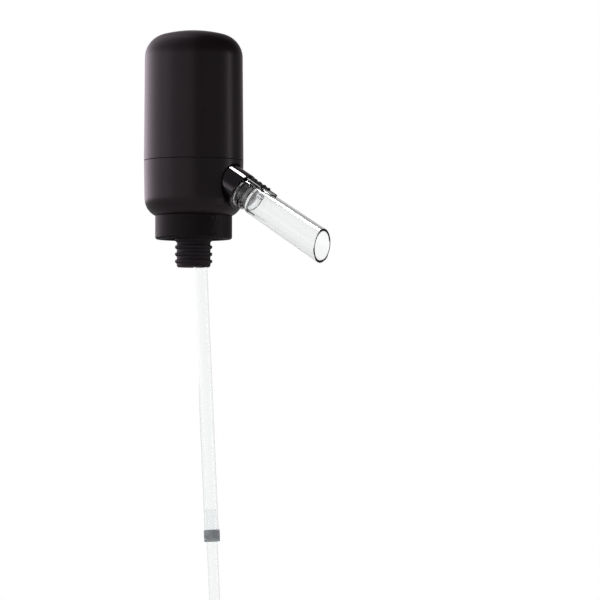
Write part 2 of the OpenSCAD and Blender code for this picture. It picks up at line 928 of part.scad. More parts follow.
// Black rubber grip on the tongue, with scalloped ridges across it
module spout_grip() {
    ridge_r = ridge_pitch * 0.62;
    color("#18181a")
    on_spout()
        intersection() {
            translate([0, grip_w / 2, 0])
                rotate([90, 0, 0])
                    linear_extrude(height = grip_w)
                        intersection() {
                            union() {
                                translate([tongue_up, grip_s])
                                    square([grip_base, grip_l]);
                                for (i = [0 : ridge_count - 1])
                                    translate([
                                        tongue_up + grip_base + ridge_h - ridge_r,
                                        grip_s + (i + 0.5) * ridge_pitch
                                    ])
                                        circle(r = ridge_r, $fn = small_fn);
                            }
                            translate([tongue_up, grip_s])
                                square([grip_base + ridge_h + past, grip_l]);
                        }
            rotate([0, 90, 0])
                rotate([0, 0, 90])
                    linear_extrude(height = 3 * tongue_up)
                        tongue_plan(grip_w, grip_s, grip_s + grip_l);
        }
}

// Upper part of the dip tube, pressed into the plug
module outer_tube() {
    color("#dfe6e8", 0.4)
    on_drink_line()
        pipe(tube_r, tube_bore_r, tube_end, tube_top);
}

// Soft ring on the lower end of the upper tube, which holds the sliding tube by friction
module tube_seal() {
    color("#d5dadc")
    on_drink_line()
        difference() {
            translate([0, 0, tube_end - 2])
                cylinder(r = tube_seal_r, h = tube_seal_l, $fn = small_fn);
            translate([0, 0, tube_end])
                cylinder(r = tube_r + 0.02, h = tube_seal_l, $fn = small_fn);
            translate([0, 0, tube_end - 3])
                cylinder(r = slide_r + run_fit, h = tube_seal_l, $fn = small_fn);
        }
}

// Sliding lower part of the dip tube, cut at a slant so that it can't close on the floor
module inner_tube() {
    color("#dfe6e8", 0.4)
    on_drink_line()
        difference() {
            pipe(slide_r, slide_bore_r, slide_end, slide_top);
            translate([0, 0, slide_end])
                rotate([0, tip_cut, 0])
                    translate([-5 * slide_r, -5 * slide_r, -5 * slide_r])
                        cube([10 * slide_r, 10 * slide_r, 5 * slide_r]);
        }
}

// Barbed fitting between the plug's drink bore and the wine hose
module riser_barb() {
    color("#e2e2dc")
    on_drink_line()
        difference() {
            union() {
                translate([0, 0, barb_from])
                    cylinder(r = barb_r, h = barb_to - barb_from, $fn = small_fn);
                translate([0, 0, barb_flange_t])
                    cylinder(r = riser_r + 0.8, h = 1, $fn = small_fn);
            }
            translate([0, 0, barb_from - past])
                cylinder(r = barb_r - 0.7, h = barb_to + 2 * past, $fn = small_fn);
        }
}

// Points of one ring of the wine hose, at a radius
function riser_ring(place, r) = [
    for (k = [0 : riser_sides - 1])
        let (side = r * cos(k * 360 / riser_sides))
        [
            place[0][0] + side * cos(place[1]),
            r * sin(k * 360 / riser_sides),
            place[0][1] + side * sin(place[1])
        ]
];

// Wine hose: up from the plug, over in one bend and down into the socket
module riser_hose() {
    n = riser_sides;
    rings = len(riser_path);
    inner = rings * n;
    points = concat(
        [for (place = riser_path) each riser_ring(place, riser_r)],
        [for (place = riser_path) each riser_ring(place, riser_bore_r / cos(180 / riser_sides))]
    );
    walls = [
        for (i = [0 : rings - 2])
            for (k = [0 : n - 1])
                let (a = i * n + k, b = i * n + (k + 1) % n)
                each [
                    [a, b, a + n], [b, b + n, a + n],
                    [inner + a, inner + a + n, inner + b],
                    [inner + b, inner + a + n, inner + b + n]
                ]
    ];
    ends = [
        for (k = [0 : n - 1])
            let (a = k, b = (k + 1) % n, last = (rings - 1) * n)
            each [
                [a, inner + a, b], [b, inner + a, inner + b],
                [last + a, last + b, inner + last + a],
                [last + b, inner + last + b, inner + last + a]
            ]
    ];
    color("#cfd6d8")
    polyhedron(points = points, faces = concat(walls, ends));
}

// Cross-section of a hose
module hose_section(r, bore) {
    difference() {
        circle(r = r, $fn = small_fn);
        circle(r = bore, $fn = small_fn);
    }
}

// Barbed fitting between the plug's air bore and the air hose
module air_barb() {
    color("#e2e2dc")
    translate([-air_x, 0, 0])
        difference() {
            union() {
                translate([0, 0, flange_z])
                    cylinder(
                        r = air_barb_r,
                        h = air_barb_top - flange_z,
                        $fn = small_fn
                    );
                translate([0, 0, air_barb_z])
                    cylinder(r = air_hose_r + 0.2, h = 0.8, $fn = small_fn);
            }
            translate([0, 0, flange_z - past])
                cylinder(r = air_barb_r - 0.5, h = air_barb_top + 2 * past, $fn = small_fn);
        }
}

// Air hose: down from the pump, across in an S and down onto the plug's barb
module air_hose() {
    color("#cfd6d8")
    union() {
        translate([outlet_x, 0, 0])
            pipe(air_hose_r, air_hose_bore_r, air_high_z - 0.01, head_low_z - 0.1);
        translate([outlet_x + air_bend, 0, air_high_z])
            rotate([90, 0, 0])
                rotate([0, 0, 180])
                    rotate_extrude(angle = 90, $fn = round_fn)
                        translate([air_bend, 0])
                            hose_section(air_hose_r, air_hose_bore_r);
        translate([-air_x - air_bend, 0, air_low_z])
            rotate([90, 0, 0])
                rotate_extrude(angle = 90, $fn = round_fn)
                    translate([air_bend, 0])
                        hose_section(air_hose_r, air_hose_bore_r);
        translate([-air_x, 0, 0])
            pipe(air_hose_r, air_hose_bore_r, air_barb_z + 0.9, air_low_z + 0.01);
    }
}

// Battery carrier: deck, motor sleeve, ribs between the cells and two screw pillars
module battery_carrier() {
    color("#d8d6cf")
    difference() {
        union() {
            translate([0, 0, deck_z])
                cylinder(r = deck_r, h = deck_t, $fn = 2 * round_fn);
            translate([0, 0, deck_z])
                cylinder(r = sleeve_r, h = cell_end - deck_z, $fn = round_fn);
            for (i = [0 : cell_count - 1])
                rotate([0, 0, i * cell_step])
                    translate([sleeve_r - 0.4, -rib_t / 2, deck_z])
                        cube([
                            deck_r - sleeve_r - 0.8,
                            rib_t,
                            cell_end - deck_z
                        ]);
            for (a = [0, 180])
                rotate([0, 0, a])
                    translate([pillar_ring, 0, deck_z])
                        cylinder(r = pillar_r, h = cell_end - deck_z, $fn = small_fn);
        }
        translate([0, 0, deck_top])
            cylinder(r = motor_r + ring_fit, h = cell_end, $fn = round_fn);
        translate([0, 0, deck_z - past])
            cylinder(r = motor_front_r + ring_fit, h = deck_t + 2 * past, $fn = small_fn);
        translate([0, 0, deck_top])
            pipe_at(
                cell_ring_r + contact_half_w + seat_fit,
                cell_ring_r - contact_half_w - seat_fit,
                contact_t + seat_fit
            );
        at_posts() {
            translate([0, 0, deck_z - past])
                cylinder(r = screw_pass_r, h = deck_t + 2 * past, $fn = small_fn);
            translate([0, 0, deck_top])
                cylinder(r = screw_well_r, h = 4 * screw_head_h, $fn = small_fn);
        }
        for (a = [0, 180])
            rotate([0, 0, a])
                translate([pillar_ring, 0, cell_end - cap_bite - bite_spare])
                    cylinder(
                        r = small_hole_r,
                        h = cap_bite + bite_spare + past,
                        $fn = small_fn
                    );
        for (y = [-motor_screw_at, motor_screw_at])
            translate([0, y, deck_z - past])
                cylinder(r = screw_pass_r, h = deck_t + 2 * past, $fn = small_fn);
        for (y = [-ear_y, ear_y])
            translate([foot_x - ear_l / 2, y, deck_z - past])
                cylinder(r = 0.7, h = deck_t + 2 * past, $fn = small_fn);
    }
}

// Four screws that hold the carrier on the housing's posts
module carrier_screws() {
    color("#b9bcc0")
    at_posts()
        translate([0, 0, deck_top])
            screw(screw_r, deck_t + carrier_bite, screw_head_r, screw_head_h);
}

// Plan of a contact: a ring sector that spans two neighbouring cells
module contact_plan(half_w) {
    first = cell_turn - contact_over;
    last = 3 * cell_turn + contact_over;
    intersection() {
        difference() {
            circle(r = cell_ring_r + half_w, $fn = round_fn);
            circle(r = cell_ring_r - half_w, $fn = round_fn);
        }
        polygon([
            [0, 0],
            2 * seam_r * [cos(first), sin(first)],
            2 * seam_r * [cos(last), sin(last)]
        ]);
    }
}

// Lower contact plate, cut round the head of the post's screw
module contact_plate(z) {
    translate([0, 0, z])
        linear_extrude(height = contact_t)
            difference() {
                contact_plan(contact_half_w);
                rotate(cell_step)
                    translate([post_ring, 0])
                        circle(r = screw_well_r, $fn = small_fn);
            }
}

// Leaf contacts under the cells, each a strip bent up in an arc
module base_contacts() {
    leaf_r = (pow(contact_half_w, 2) + pow(leaf_h, 2)) / (2 * leaf_h);
    color("#c2a15a")
    for (i = [0 : 2])
        rotate([0, 0, i * 2 * cell_step]) {
            contact_plate(deck_top);
            for (a = [cell_turn, cell_turn + cell_step])
                rotate([0, 0, a])
                    translate([cell_ring_r, 0, deck_top + contact_t])
                        rotate([90, 0, 90])
                            translate([0, 0, -1.5])
                                linear_extrude(height = 3)
                                    leaf_outline(leaf_r);
        }
}

// Side view of a leaf contact: a thin arc that stands on its plate
module leaf_outline(leaf_r) {
    intersection() {
        difference() {
            translate([0, leaf_h - leaf_r])
                circle(r = leaf_r, $fn = small_fn);
            translate([0, leaf_h - leaf_r])
                circle(r = leaf_r - 0.35, $fn = small_fn);
        }
        translate([-4, -0.01])
            square([8, leaf_h + past]);
    }
}

// One cell: a can with a raised nub, upright or upside down
module battery(i) {
    nub_h = 0.8;
    up = i % 2;
    color(up == 1 ? "#b8753a" : "#3c4046")
    rotate([0, 0, cell_turn + i * cell_step])
        translate([cell_ring_r, 0, cell_z + cell_l / 2])
            rotate([up * 180, 0, 0])
                translate([0, 0, -cell_l / 2])
                    union() {
                        cylinder(r = cell_r, h = cell_l - nub_h, $fn = round_fn);
                        cylinder(r = 1.9, h = cell_l, $fn = small_fn);
                    }
}

module battery_1() { battery(0); }
module battery_2() { battery(1); }
module battery_3() { battery(2); }
module battery_4() { battery(3); }
module battery_5() { battery(4); }
module battery_6() { battery(5); }

// Contact plates above the cells
module top_contacts() {
    color("#c2a15a")
    for (i = [0 : 2])
        rotate([0, 0, (2 * i + 1) * cell_step])
            translate([0, 0, cell_end])
                linear_extrude(height = contact_t)
                    difference() {
                        contact_plan(top_contact_half_w);
                        for (a = [0, 180])
                            rotate(a - (2 * i + 1) * cell_step)
                                translate([pillar_ring, 0])
                                    circle(r = 1.6, $fn = small_fn);
                    }
}

// Cap that closes the carrier and carries the switch board on three posts
module carrier_cap() {
    color("#d8d6cf")
    difference() {
        union() {
            translate([0, 0, cap_z])
                cylinder(r = cap_r, h = cap_t, $fn = 2 * round_fn);
            ring_of(3, board_post_ring, 90)
                translate([0, 0, cap_z])
                    cylinder(r = 1.9, h = board_z - cap_z, $fn = small_fn);
            for (a = [0, 180])
                rotate([0, 0, a])
                    translate([pillar_ring, 0, cell_end])
                        cylinder(r = 1.5, h = cap_z - cell_end + 0.01, $fn = small_fn);
        }
        translate([0, 0, cap_z - past])
            cylinder(r = cap_hole_r, h = cap_t + 2 * past, $fn = small_fn);
        for (a = [0, 180])
            rotate([0, 0, a])
                translate([pillar_ring, 0, cell_end - past])
                    cylinder(r = small_pass_r, h = cap_t + contact_t + 2 * past, $fn = small_fn);
        ring_of(3, board_post_ring, 90)
            translate([0, 0, board_z - board_bite - 0.3])
                cylinder(r = 0.7, h = board_bite + past, $fn = small_fn);
    }
}

// Two screws that hold the cap on the carrier's pillars
module cap_screws() {
    color("#b9bcc0")
    for (a = [0, 180])
        rotate([0, 0, a])
            translate([pillar_ring, 0, cap_z + cap_t])
                screw(small_screw_r, cap_t + cap_bite, small_head_r, small_head_h);
}

// Steel can of the motor with its front boss
module motor_can() {
    color("#b4b7bb")
    difference() {
        union() {
            translate([0, 0, deck_top])
                cylinder(r = motor_r, h = motor_l, $fn = round_fn);
            translate([0, 0, deck_z])
                cylinder(r = motor_front_r, h = deck_t + 0.01, $fn = small_fn);
        }
        translate([0, 0, deck_top + motor_wall])
            cylinder(r = motor_r - motor_wall, h = motor_l, $fn = round_fn);
        translate([0, 0, deck_z - past])
            cylinder(r = shaft_r + run_fit, h = deck_t + motor_wall + 2 * past, $fn = small_fn);
        for (y = [-motor_screw_at, motor_screw_at])
            translate([0, y, deck_top - past])
                cylinder(r = 0.85, h = motor_wall + 2 * past, $fn = small_fn);
    }
}

// Two arc magnets glued inside the can
module motor_magnets() {
    outer = motor_r - motor_wall - 0.02;
    color("#4a4a4e")
    translate([0, 0, deck_top + magnet_in])
        linear_extrude(height = motor_l - 2 * magnet_in)
            intersection() {
                difference() {
                    circle(r = outer, $fn = round_fn);
                    circle(r = outer - magnet_t, $fn = round_fn);
                }
                union() {
                    for (a = [0, 180])
                        rotate(a)
                            polygon(2 * motor_r * [[0, 0], [1, 1], [1, -1]]);
                }
            }
}

// Rotor: three wound poles and a commutator
module motor_armature() {
    z0 = deck_top + armature_in;
    l = motor_l - 2 * armature_in;
    color("#a8623a")
    difference() {
        union() {
            translate([0, 0, z0])
                linear_extrude(height = l)
                    union() {
                        circle(r = armature_r * 0.45, $fn = small_fn);
                        for (a = [0, 120, 240])
                            rotate(a)
                                intersection() {
                                    circle(r = armature_r, $fn = round_fn);
                                    polygon([
                                        [0, 0], [armature_r * 2, armature_r * 2.4],
                                        [armature_r * 2, -armature_r * 2.4]
                                    ]);
                                }
                    }
            translate([0, 0, z0 + l - 0.01])
                cylinder(r = shaft_r + 1.4, h = 3.6, $fn = small_fn);
        }
        translate([0, 0, z0 - past])
            cylinder(r = shaft_r + 0.01, h = motor_l, $fn = small_fn);
    }
}

// Motor shaft, which drives the eccentric below the deck
module motor_shaft() {
    color("#d0d2d5")
    translate([0, 0, pump_z - cam_h / 2 - 0.5])
        cylinder(r = shaft_r, h = shaft_end - pump_z + cam_h / 2 + 0.5, $fn = small_fn);
}

// Moulded rear cap of the motor with two solder terminals
module motor_rear_cap() {
    color("#e6e4dc")
    difference() {
        union() {
            translate([0, 0, motor_rear])
                cylinder(r = motor_r, h = rear_cap_t, $fn = round_fn);
            translate([0, 0, motor_rear - 1.5])
                cylinder(r = motor_r - motor_wall - 0.02, h = 1.51, $fn = round_fn);
        }
        translate([0, 0, motor_rear - 2 * past])
            cylinder(r = motor_r - 3, h = past + 1, $fn = round_fn);
        translate([0, 0, motor_rear - past])
            cylinder(r = shaft_r + run_fit, h = past + shaft_end - motor_rear + 0.3, $fn = small_fn);
    }
    color("#c2a15a")
    for (x = [-4, 4])
        translate([x - 1, -0.2, motor_rear + rear_cap_t - 0.01])
            cube([2, 0.4, terminal_h]);
}

// Two screws that hold the motor on the deck
module motor_screws() {
    color("#b9bcc0")
    for (y = [-motor_screw_at, motor_screw_at])
        translate([0, y, deck_z])
            rotate([180, 0, 0])
                screw(0.8, deck_t + motor_wall, 1.6, 0.8);
}

// Two leads from the switch board down to the motor's terminals
module motor_leads() {
    lead_low = motor_rear + rear_cap_t + terminal_h * 0.4;
    color("#a52a2a")
    for (x = [-3, 3])
        translate([x, 0.2 + 0.65, lead_low])
            cylinder(r = 0.6, h = board_z - lead_low, $fn = small_fn);
}

// Eccentric pressed on the shaft's lower end
module eccentric() {
    color("#c9a76a")
    difference() {
        translate([-throw, 0, pump_z - cam_h / 2])
            cylinder(r = cam_r, h = cam_h, $fn = round_fn);
        translate([0, 0, pump_z - cam_h])
            cylinder(r = shaft_r + 0.01, h = 2 * cam_h, $fn = small_fn);
    }
}

// Connecting rod: a ring on the eccentric, a web and a round foot at the diaphragm
module connecting_rod() {
    web_x = foot_x + foot_t;
    color("#efece2")
    difference() {
        union() {
            translate([-throw, 0, pump_z - rod_h / 2])
                cylinder(r = rod_ring_r, h = rod_h, $fn = round_fn);
            translate([web_x - 0.2, -1, pump_z - rod_h / 2])
                cube([-throw - rod_bore_r - web_x, 2, rod_h]);
            translate([foot_x, 0, pump_z])
                rotate([0, 90, 0])
                    cylinder(r = foot_r, h = foot_t, $fn = small_fn);
        }
        translate([-throw, 0, pump_z - rod_h])
            cylinder(r = rod_bore_r, h = 2 * rod_h, $fn = round_fn);
    }
}

// Square plate of the pump, with four corner screw holes, from x = 0 towards +X
module pump_plate(t, hole) {
    rotate([90, 0, 90])
        linear_extrude(height = t)
            difference() {
                union() {
                    square([pump_side - 2.4, pump_side], center = true);
                    square([pump_side, pump_side - 2.4], center = true);
                    for (x = [-1, 1], y = [-1, 1])
                        translate([x * pump_screw_at, y * pump_screw_at])
                            circle(r = 1.2, $fn = small_fn);
                }
                for (x = [-1, 1], y = [-1, 1])
                    translate([x * pump_screw_at, y * pump_screw_at])
                        circle(r = hole, $fn = small_fn);
            }
}

// Frame that hangs the pump under the deck by two ears
module pump_frame() {
    color("#e6e4dc")
    difference() {
        union() {
            translate([dia_x, 0, pump_z])
                pump_plate(frame_t, 0.75);
            for (side = [-1, 1])
                translate([dia_x, side * (pump_side / 2 - 1.2), pump_z])
                    mirror([0, side < 0 ? 1 : 0, 0])
                        cube([frame_t, ear_w + 1.2, deck_z - pump_z]);
            for (y = [-ear_y, ear_y])
                translate([dia_x + frame_t - ear_l, y - ear_w / 2, deck_z - ear_t])
                    cube([ear_l, ear_w, ear_t]);
        }
        translate([dia_x - past, 0, pump_z])
            rotate([0, 90, 0])
                cylinder(r = frame_hole_r, h = frame_t + 2 * past, $fn = round_fn);
        for (side = [-1, 1])
            translate([dia_x - past, side * pump_screw_at, pump_z - side * pump_screw_at])
                rotate([0, 90, 0])
                    cylinder(r = 0.6, h = frame_t + 2 * past, $fn = small_fn);
        for (y = [-ear_y, ear_y])
            translate([foot_x - ear_l / 2, y, deck_z - ear_t - past])
                cylinder(r = 0.95, h = ear_t + 2 * past, $fn = small_fn);
    }
}

// Rubber diaphragm with a rolled fold and a centre boss
module diaphragm() {
    color("#2f2f33")
    union() {
        difference() {
            translate([dia_x - dia_t, 0, pump_z])
                pump_plate(dia_t, 0.75);
            translate([dia_x + 0.3, 0, pump_z])
                rotate([0, -90, 0])
                    turned()
                        translate([3, 0])
                            circle(r = 0.6, $fn = 24);
        }
        translate([dia_x - 0.01, 0, pump_z])
            rotate([0, 90, 0])
                cylinder(r = 1.8, h = dia_boss + 0.01, $fn = small_fn);
    }
}

// Valve plate with an inlet hole and an outlet hole
module valve_plate() {
    color("#efece2")
    difference() {
        translate([dia_x - dia_t - valve_t, 0, pump_z])
            pump_plate(valve_t, 0.75);
        for (y = [-2.2, 2.2])
            translate([dia_x - dia_t - valve_t - past, y, pump_z])
                rotate([0, 90, 0])
                    cylinder(r = 0.8, h = valve_t + 2 * past, $fn = small_fn);
    }
}

// Pump head with two air chambers, an inlet hole and the outlet barb
module pump_head() {
    color("#e6e4dc")
    difference() {
        union() {
            translate([head_x - head_l, 0, pump_z])
                pump_plate(head_l, 0.6);
            translate([outlet_x, 0, air_high_z + 0.2])
                cylinder(
                    r = air_barb_r,
                    h = head_low_z - air_high_z + 0.3,
                    $fn = small_fn
                );
        }
        for (side = [-1, 1])
            translate([head_x - 3.4, side * 2.3 - 1.8, pump_z - 3.2])
                cube([3.4 + past, 3.6, 6.4]);
        translate([outlet_x, 0, air_high_z - past])
            cylinder(r = 0.7, h = pump_z - air_high_z + past, $fn = small_fn);
        translate([head_x - head_l - past, -2.3, pump_z])
            rotate([0, 90, 0])
                cylinder(r = 0.9, h = head_l, $fn = small_fn);
    }
}

// Two screws through head, plate and diaphragm into the frame, and two up into the deck
module pump_screws() {
    stack = head_l + valve_t + dia_t + frame_t;
    color("#b9bcc0") {
        for (side = [-1, 1])
            translate([
                head_x - head_l,
                side * pump_screw_at,
                pump_z - side * pump_screw_at
            ])
                rotate([0, -90, 0])
                    screw(0.55, stack, 1.15, 0.7);
        for (y = [-ear_y, ear_y])
            translate([foot_x - ear_l / 2, y, deck_z - ear_t])
                rotate([180, 0, 0])
                    screw(0.65, ear_t + deck_t, 1.4, 0.9);
    }
}

// Round switch board on the cap's posts
module switch_board() {
    color("#2f6b45")
    difference() {
        translate([0, 0, board_z])
            cylinder(r = board_r, h = board_t, $fn = round_fn);
        ring_of(3, board_post_ring, 90)
            translate([0, 0, board_z - past])
                cylinder(r = 0.9, h = board_t + 2 * past, $fn = small_fn);
    }
}

// Three screws that hold the switch board
module board_screws() {
    color("#b9bcc0")
    ring_of(3, board_post_ring, 90)
        translate([0, 0, board_z + board_t])
            screw(0.65, board_t + board_bite, small_head_r, small_head_h);
}

// Body of the push switch, with a square case and a round well
module switch_body() {
    color("#1c1c1e")
    difference() {
        translate([-switch_side / 2, -switch_side / 2, board_z + board_t])
            cube([switch_side, switch_side, switch_h]);
        translate([0, 0, board_z + board_t + 0.1])
            cylinder(r = plunger_r + run_fit, h = switch_h, $fn = small_fn);
    }
}

// Plunger of the push switch
module switch_plunger() {
    color("#d8d2c0")
    translate([0, 0, plunger_z])
        cylinder(r = plunger_r, h = plunger_top - plunger_z, $fn = small_fn);
}

upper_cover();
push_button();
button_spring();
button_guide();
guide_screws();
lower_housing();
seam_ring();
collar();
collar_screws();
neck_plug();
spout_socket();
spigot_ring();
spout();
spout_grip();
outer_tube();
tube_seal();
inner_tube();
riser_barb();
riser_hose();
air_barb();
air_hose();
battery_carrier();
carrier_screws();
base_contacts();
battery_1();
battery_2();
battery_3();
battery_4();
battery_5();
battery_6();
top_contacts();
carrier_cap();
cap_screws();
motor_can();
motor_magnets();
motor_armature();
motor_shaft();
motor_rear_cap();
motor_screws();
motor_leads();
eccentric();
connecting_rod();
pump_frame();
diaphragm();
valve_plate();
pump_head();
pump_screws();
switch_board();
board_screws();
switch_body();
switch_plunger();
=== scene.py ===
import json
import math

import bpy
from mathutils import Matrix, Vector

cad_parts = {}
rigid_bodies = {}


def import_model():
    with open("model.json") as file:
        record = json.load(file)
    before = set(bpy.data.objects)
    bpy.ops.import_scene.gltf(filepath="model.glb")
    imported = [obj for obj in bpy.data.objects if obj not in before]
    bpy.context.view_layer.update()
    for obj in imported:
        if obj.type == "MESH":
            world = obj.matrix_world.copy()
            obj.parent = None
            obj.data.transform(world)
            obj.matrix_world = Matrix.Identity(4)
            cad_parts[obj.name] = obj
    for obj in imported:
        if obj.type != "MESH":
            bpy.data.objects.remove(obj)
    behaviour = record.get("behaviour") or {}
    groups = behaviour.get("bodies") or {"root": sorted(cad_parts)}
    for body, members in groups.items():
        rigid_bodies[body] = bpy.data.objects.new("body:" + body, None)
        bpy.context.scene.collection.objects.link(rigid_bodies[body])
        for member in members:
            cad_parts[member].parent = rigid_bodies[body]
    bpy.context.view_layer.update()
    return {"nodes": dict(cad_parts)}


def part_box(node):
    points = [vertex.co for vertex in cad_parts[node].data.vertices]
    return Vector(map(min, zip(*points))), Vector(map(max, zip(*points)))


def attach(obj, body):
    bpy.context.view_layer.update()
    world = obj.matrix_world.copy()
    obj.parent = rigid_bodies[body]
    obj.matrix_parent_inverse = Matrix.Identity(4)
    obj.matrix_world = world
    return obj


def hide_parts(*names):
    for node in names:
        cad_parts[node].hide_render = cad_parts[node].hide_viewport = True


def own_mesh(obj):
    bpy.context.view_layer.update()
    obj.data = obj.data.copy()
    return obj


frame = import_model()
nodes = frame["nodes"]
mm = 0.001

# Camera
# Level with the seam and a little to the spout's side of the front, from about 1.65 m,
# with a long lens that looks up by under two degrees.
camera_turn = math.radians(31)
camera_distance = 1646 * mm
camera_side = 53.6 * mm
camera_height = -86 * mm
camera_pitch = math.radians(1.93)
bpy.ops.object.camera_add()
camera = bpy.context.object
camera.data.lens = 196.2
camera.data.sensor_width = 36
camera.data.clip_start = 0.05
camera.data.clip_end = 60
to_camera = Vector((math.sin(camera_turn), -math.cos(camera_turn), 0))
to_right = Vector((math.cos(camera_turn), math.sin(camera_turn), 0))
camera.location = to_camera * camera_distance + to_right * camera_side
camera.location.z = camera_height
camera.rotation_euler = (math.radians(90) + camera_pitch, 0, camera_turn)
bpy.context.scene.camera = camera
bpy.context.scene.view_settings.view_transform = "Standard"


# Upper cover
# The long charcoal shell of the body, moulded in ABS with a fine satin spark finish. It has a
# shallow crown, a soft shoulder, a round hole for the button and three screw bosses under the
# crown, and it comes off the lower housing's lip when the cells are changed.
def arc(x, z, radius, start, end, steps):
    """Points of an arc as (radius, height), with its angles in degrees from level."""
    turns = [math.radians(start + (end - start) * i / steps) for i in range(steps + 1)]
    return [(x + radius * math.cos(t), z + radius * math.sin(t)) for t in turns]


def activate(piece):
    """Makes a piece the only selected one and the active one."""
    bpy.ops.object.select_all(action="DESELECT")
    piece.select_set(True)
    bpy.context.view_layer.objects.active = piece


def turned(name, outline, sides=128, closed=True):
    """Draws a circle up ring by ring through an outline of (radius, height), as on a lathe.

    A closed outline runs round the section of a hollow piece. An open one ends in two flat
    discs, which are filled. A long side gets a ring near both its ends, so that the shading of
    a rounded edge doesn't spread along it."""
    margin = 0.2 * mm
    rings = [outline[0]]
    for start, end in zip(outline, outline[1:]):
        long_side = math.dist(start, end)
        if long_side > 5 * margin:
            for share in (margin / long_side, 1 - margin / long_side):
                rings.append(tuple(p + (q - p) * share for p, q in zip(start, end)))
        rings.append(end)
    radius, height = rings[0]
    bpy.ops.object.select_all(action="DESELECT")
    bpy.ops.mesh.primitive_circle_add(vertices=sides, radius=radius, location=(0, 0, height))
    piece = bpy.context.object
    piece.name = piece.data.name = name
    bpy.ops.object.mode_set(mode="EDIT")
    bpy.ops.mesh.select_all(action="SELECT")
    for next_radius, next_height in rings[1:]:
        bpy.ops.mesh.extrude_edges_move(
            TRANSFORM_OT_translate={"value": (0, 0, next_height - height)}
        )
        grow = next_radius / radius
        bpy.ops.transform.resize(value=(grow, grow, 1), center_override=(0, 0, next_height))
        radius, height = next_radius, next_height
    bpy.ops.mesh.select_mode(type="EDGE")
    bpy.ops.mesh.select_all(action="DESELECT")
    bpy.ops.mesh.select_non_manifold()
    if closed:
        bpy.ops.mesh.bridge_edge_loops()
    else:
        bpy.ops.mesh.fill_holes(sides=0)
    bpy.ops.mesh.select_all(action="SELECT")
    bpy.ops.mesh.normals_make_consistent(inside=False)
    bpy.ops.object.mode_set(mode="OBJECT")
    bpy.ops.object.transform_apply(location=True, rotation=True, scale=True)
    return piece


def rod(radius, low, high, sides=64, top_radius=None):
    """A plain round rod or cone between two heights on the Z axis."""
    top = radius if top_radius is None else top_radius
    return turned("rod", [(radius, low), (top, high)], sides, closed=False)


def place(piece, matrix):
    """Moves a piece by a matrix and applies the move, so that its place is in its mesh."""
    activate(piece)
    piece.matrix_world = matrix @ piece.matrix_world
    bpy.ops.object.transform_apply(location=True, rotation=True, scale=True)
    return piece


def around(angle, radius):
    """The place at an angle in degrees and a radius round the body's axis."""
    return Matrix.Rotation(math.radians(angle), 4, "Z") @ Matrix.Translation((radius, 0, 0))


def cut(piece, tool, operation="DIFFERENCE"):
    """Cuts, joins or trims a piece by another, which is used up."""
    activate(piece)
    boolean = piece.modifiers.new("cut", "BOOLEAN")
    boolean.operation = operation
    boolean.solver = "EXACT"
    boolean.object = tool
    bpy.ops.object.modifier_apply(modifier=boolean.name)
    bpy.data.objects.remove(tool)
    return piece


def smooth(piece, degrees=35):
    """Shades a piece smooth, with its sharp edges kept."""
    activate(piece)
    bpy.ops.object.shade_smooth_by_angle(angle=math.radians(degrees))


def linear(code):
    """An sRGB hex colour as linear red, green, blue and alpha."""
    parts = [int(code[i:i + 2], 16) / 255 for i in (0, 2, 4)]
    return [p / 12.92 if p <= 0.04045 else ((p + 0.055) / 1.055) ** 2.4 for p in parts] + [1]


def node(tree, kind, settings=None, **inputs):
    """Adds a shader node, with its settings and with values or links for its inputs.

    An input is named by its socket's name with underscores, or by its number after an i."""
    made = tree.nodes.new(kind)
    for name, value in (settings or {}).items():
        setattr(made, name, value)
    for name, value in inputs.items():
        key = int(name[1:]) if name[1:].isdigit() else name.replace("_", " ")
        if isinstance(value, bpy.types.NodeSocket):
            tree.links.new(value, made.inputs[key])
        else:
            made.inputs[key].default_value = value
    return made


def surface(name, colour, **settings):
    """A new material: its tree, its Principled shader set with values, and Object coordinates."""
    material = bpy.data.materials.new(name)
    material.use_nodes = True
    tree = material.node_tree
    shader = tree.nodes["Principled BSDF"]
    shader.inputs["Base Color"].default_value = linear(colour)
    for socket, value in settings.items():
        shader.inputs[socket.replace("_", " ")].default_value = value
    return material, tree, shader, node(tree, "ShaderNodeTexCoord").outputs["Object"]


def ramp(tree, value, low, high, low_at=0.35, high_at=0.65):
    """A colour that runs from one sRGB colour to another as a value rises."""
    made = node(tree, "ShaderNodeValToRGB", Fac=value)
    made.color_ramp.elements[0].position = low_at
    made.color_ramp.elements[0].color = linear(low)
    made.color_ramp.elements[1].position = high_at
    made.color_ramp.elements[1].color = linear(high)
    return made.outputs["Color"]


def noise(tree, at, size, detail=2.0):
    """Soft noise whose cells are about this size."""
    return node(
        tree, "ShaderNodeTexNoise", Vector=at, Scale=1 / size, Detail=detail, Roughness=0.55
    ).outputs["Fac"]


def spread(tree, value, low, high):
    """A noise value drawn out to a range, for a socket such as Roughness."""
    return node(
        tree, "ShaderNodeMapRange", Value=value, From_Min=0.3, From_Max=0.7,
        To_Min=low, To_Max=high,
    ).outputs["Result"]


def relief(tree, shader, height, depth, strength=0.4):
    """Bumps the shader's normal by a height of this depth."""
    bump = node(tree, "ShaderNodeBump", Height=height, Strength=strength, Distance=depth)
    tree.links.new(bump.outputs["Normal"], shader.inputs["Normal"])


def moulded(name, light, dark, roughness, grain, depth, **settings):
    """Moulded plastic: a spark-eroded grain, a slow drift of gloss and a trace of colour flow."""
    material, tree, shader, at = surface(name, light, **settings)
    flow = noise(tree, at, 22 * mm)
    tree.links.new(ramp(tree, flow, dark, light), shader.inputs["Base Color"])
    fine = noise(tree, at, grain, 3.0)
    gloss = spread(tree, fine, roughness - 0.05, roughness + 0.05)
    tree.links.new(gloss, shader.inputs["Roughness"])
    relief(tree, shader, fine, depth)
    return material


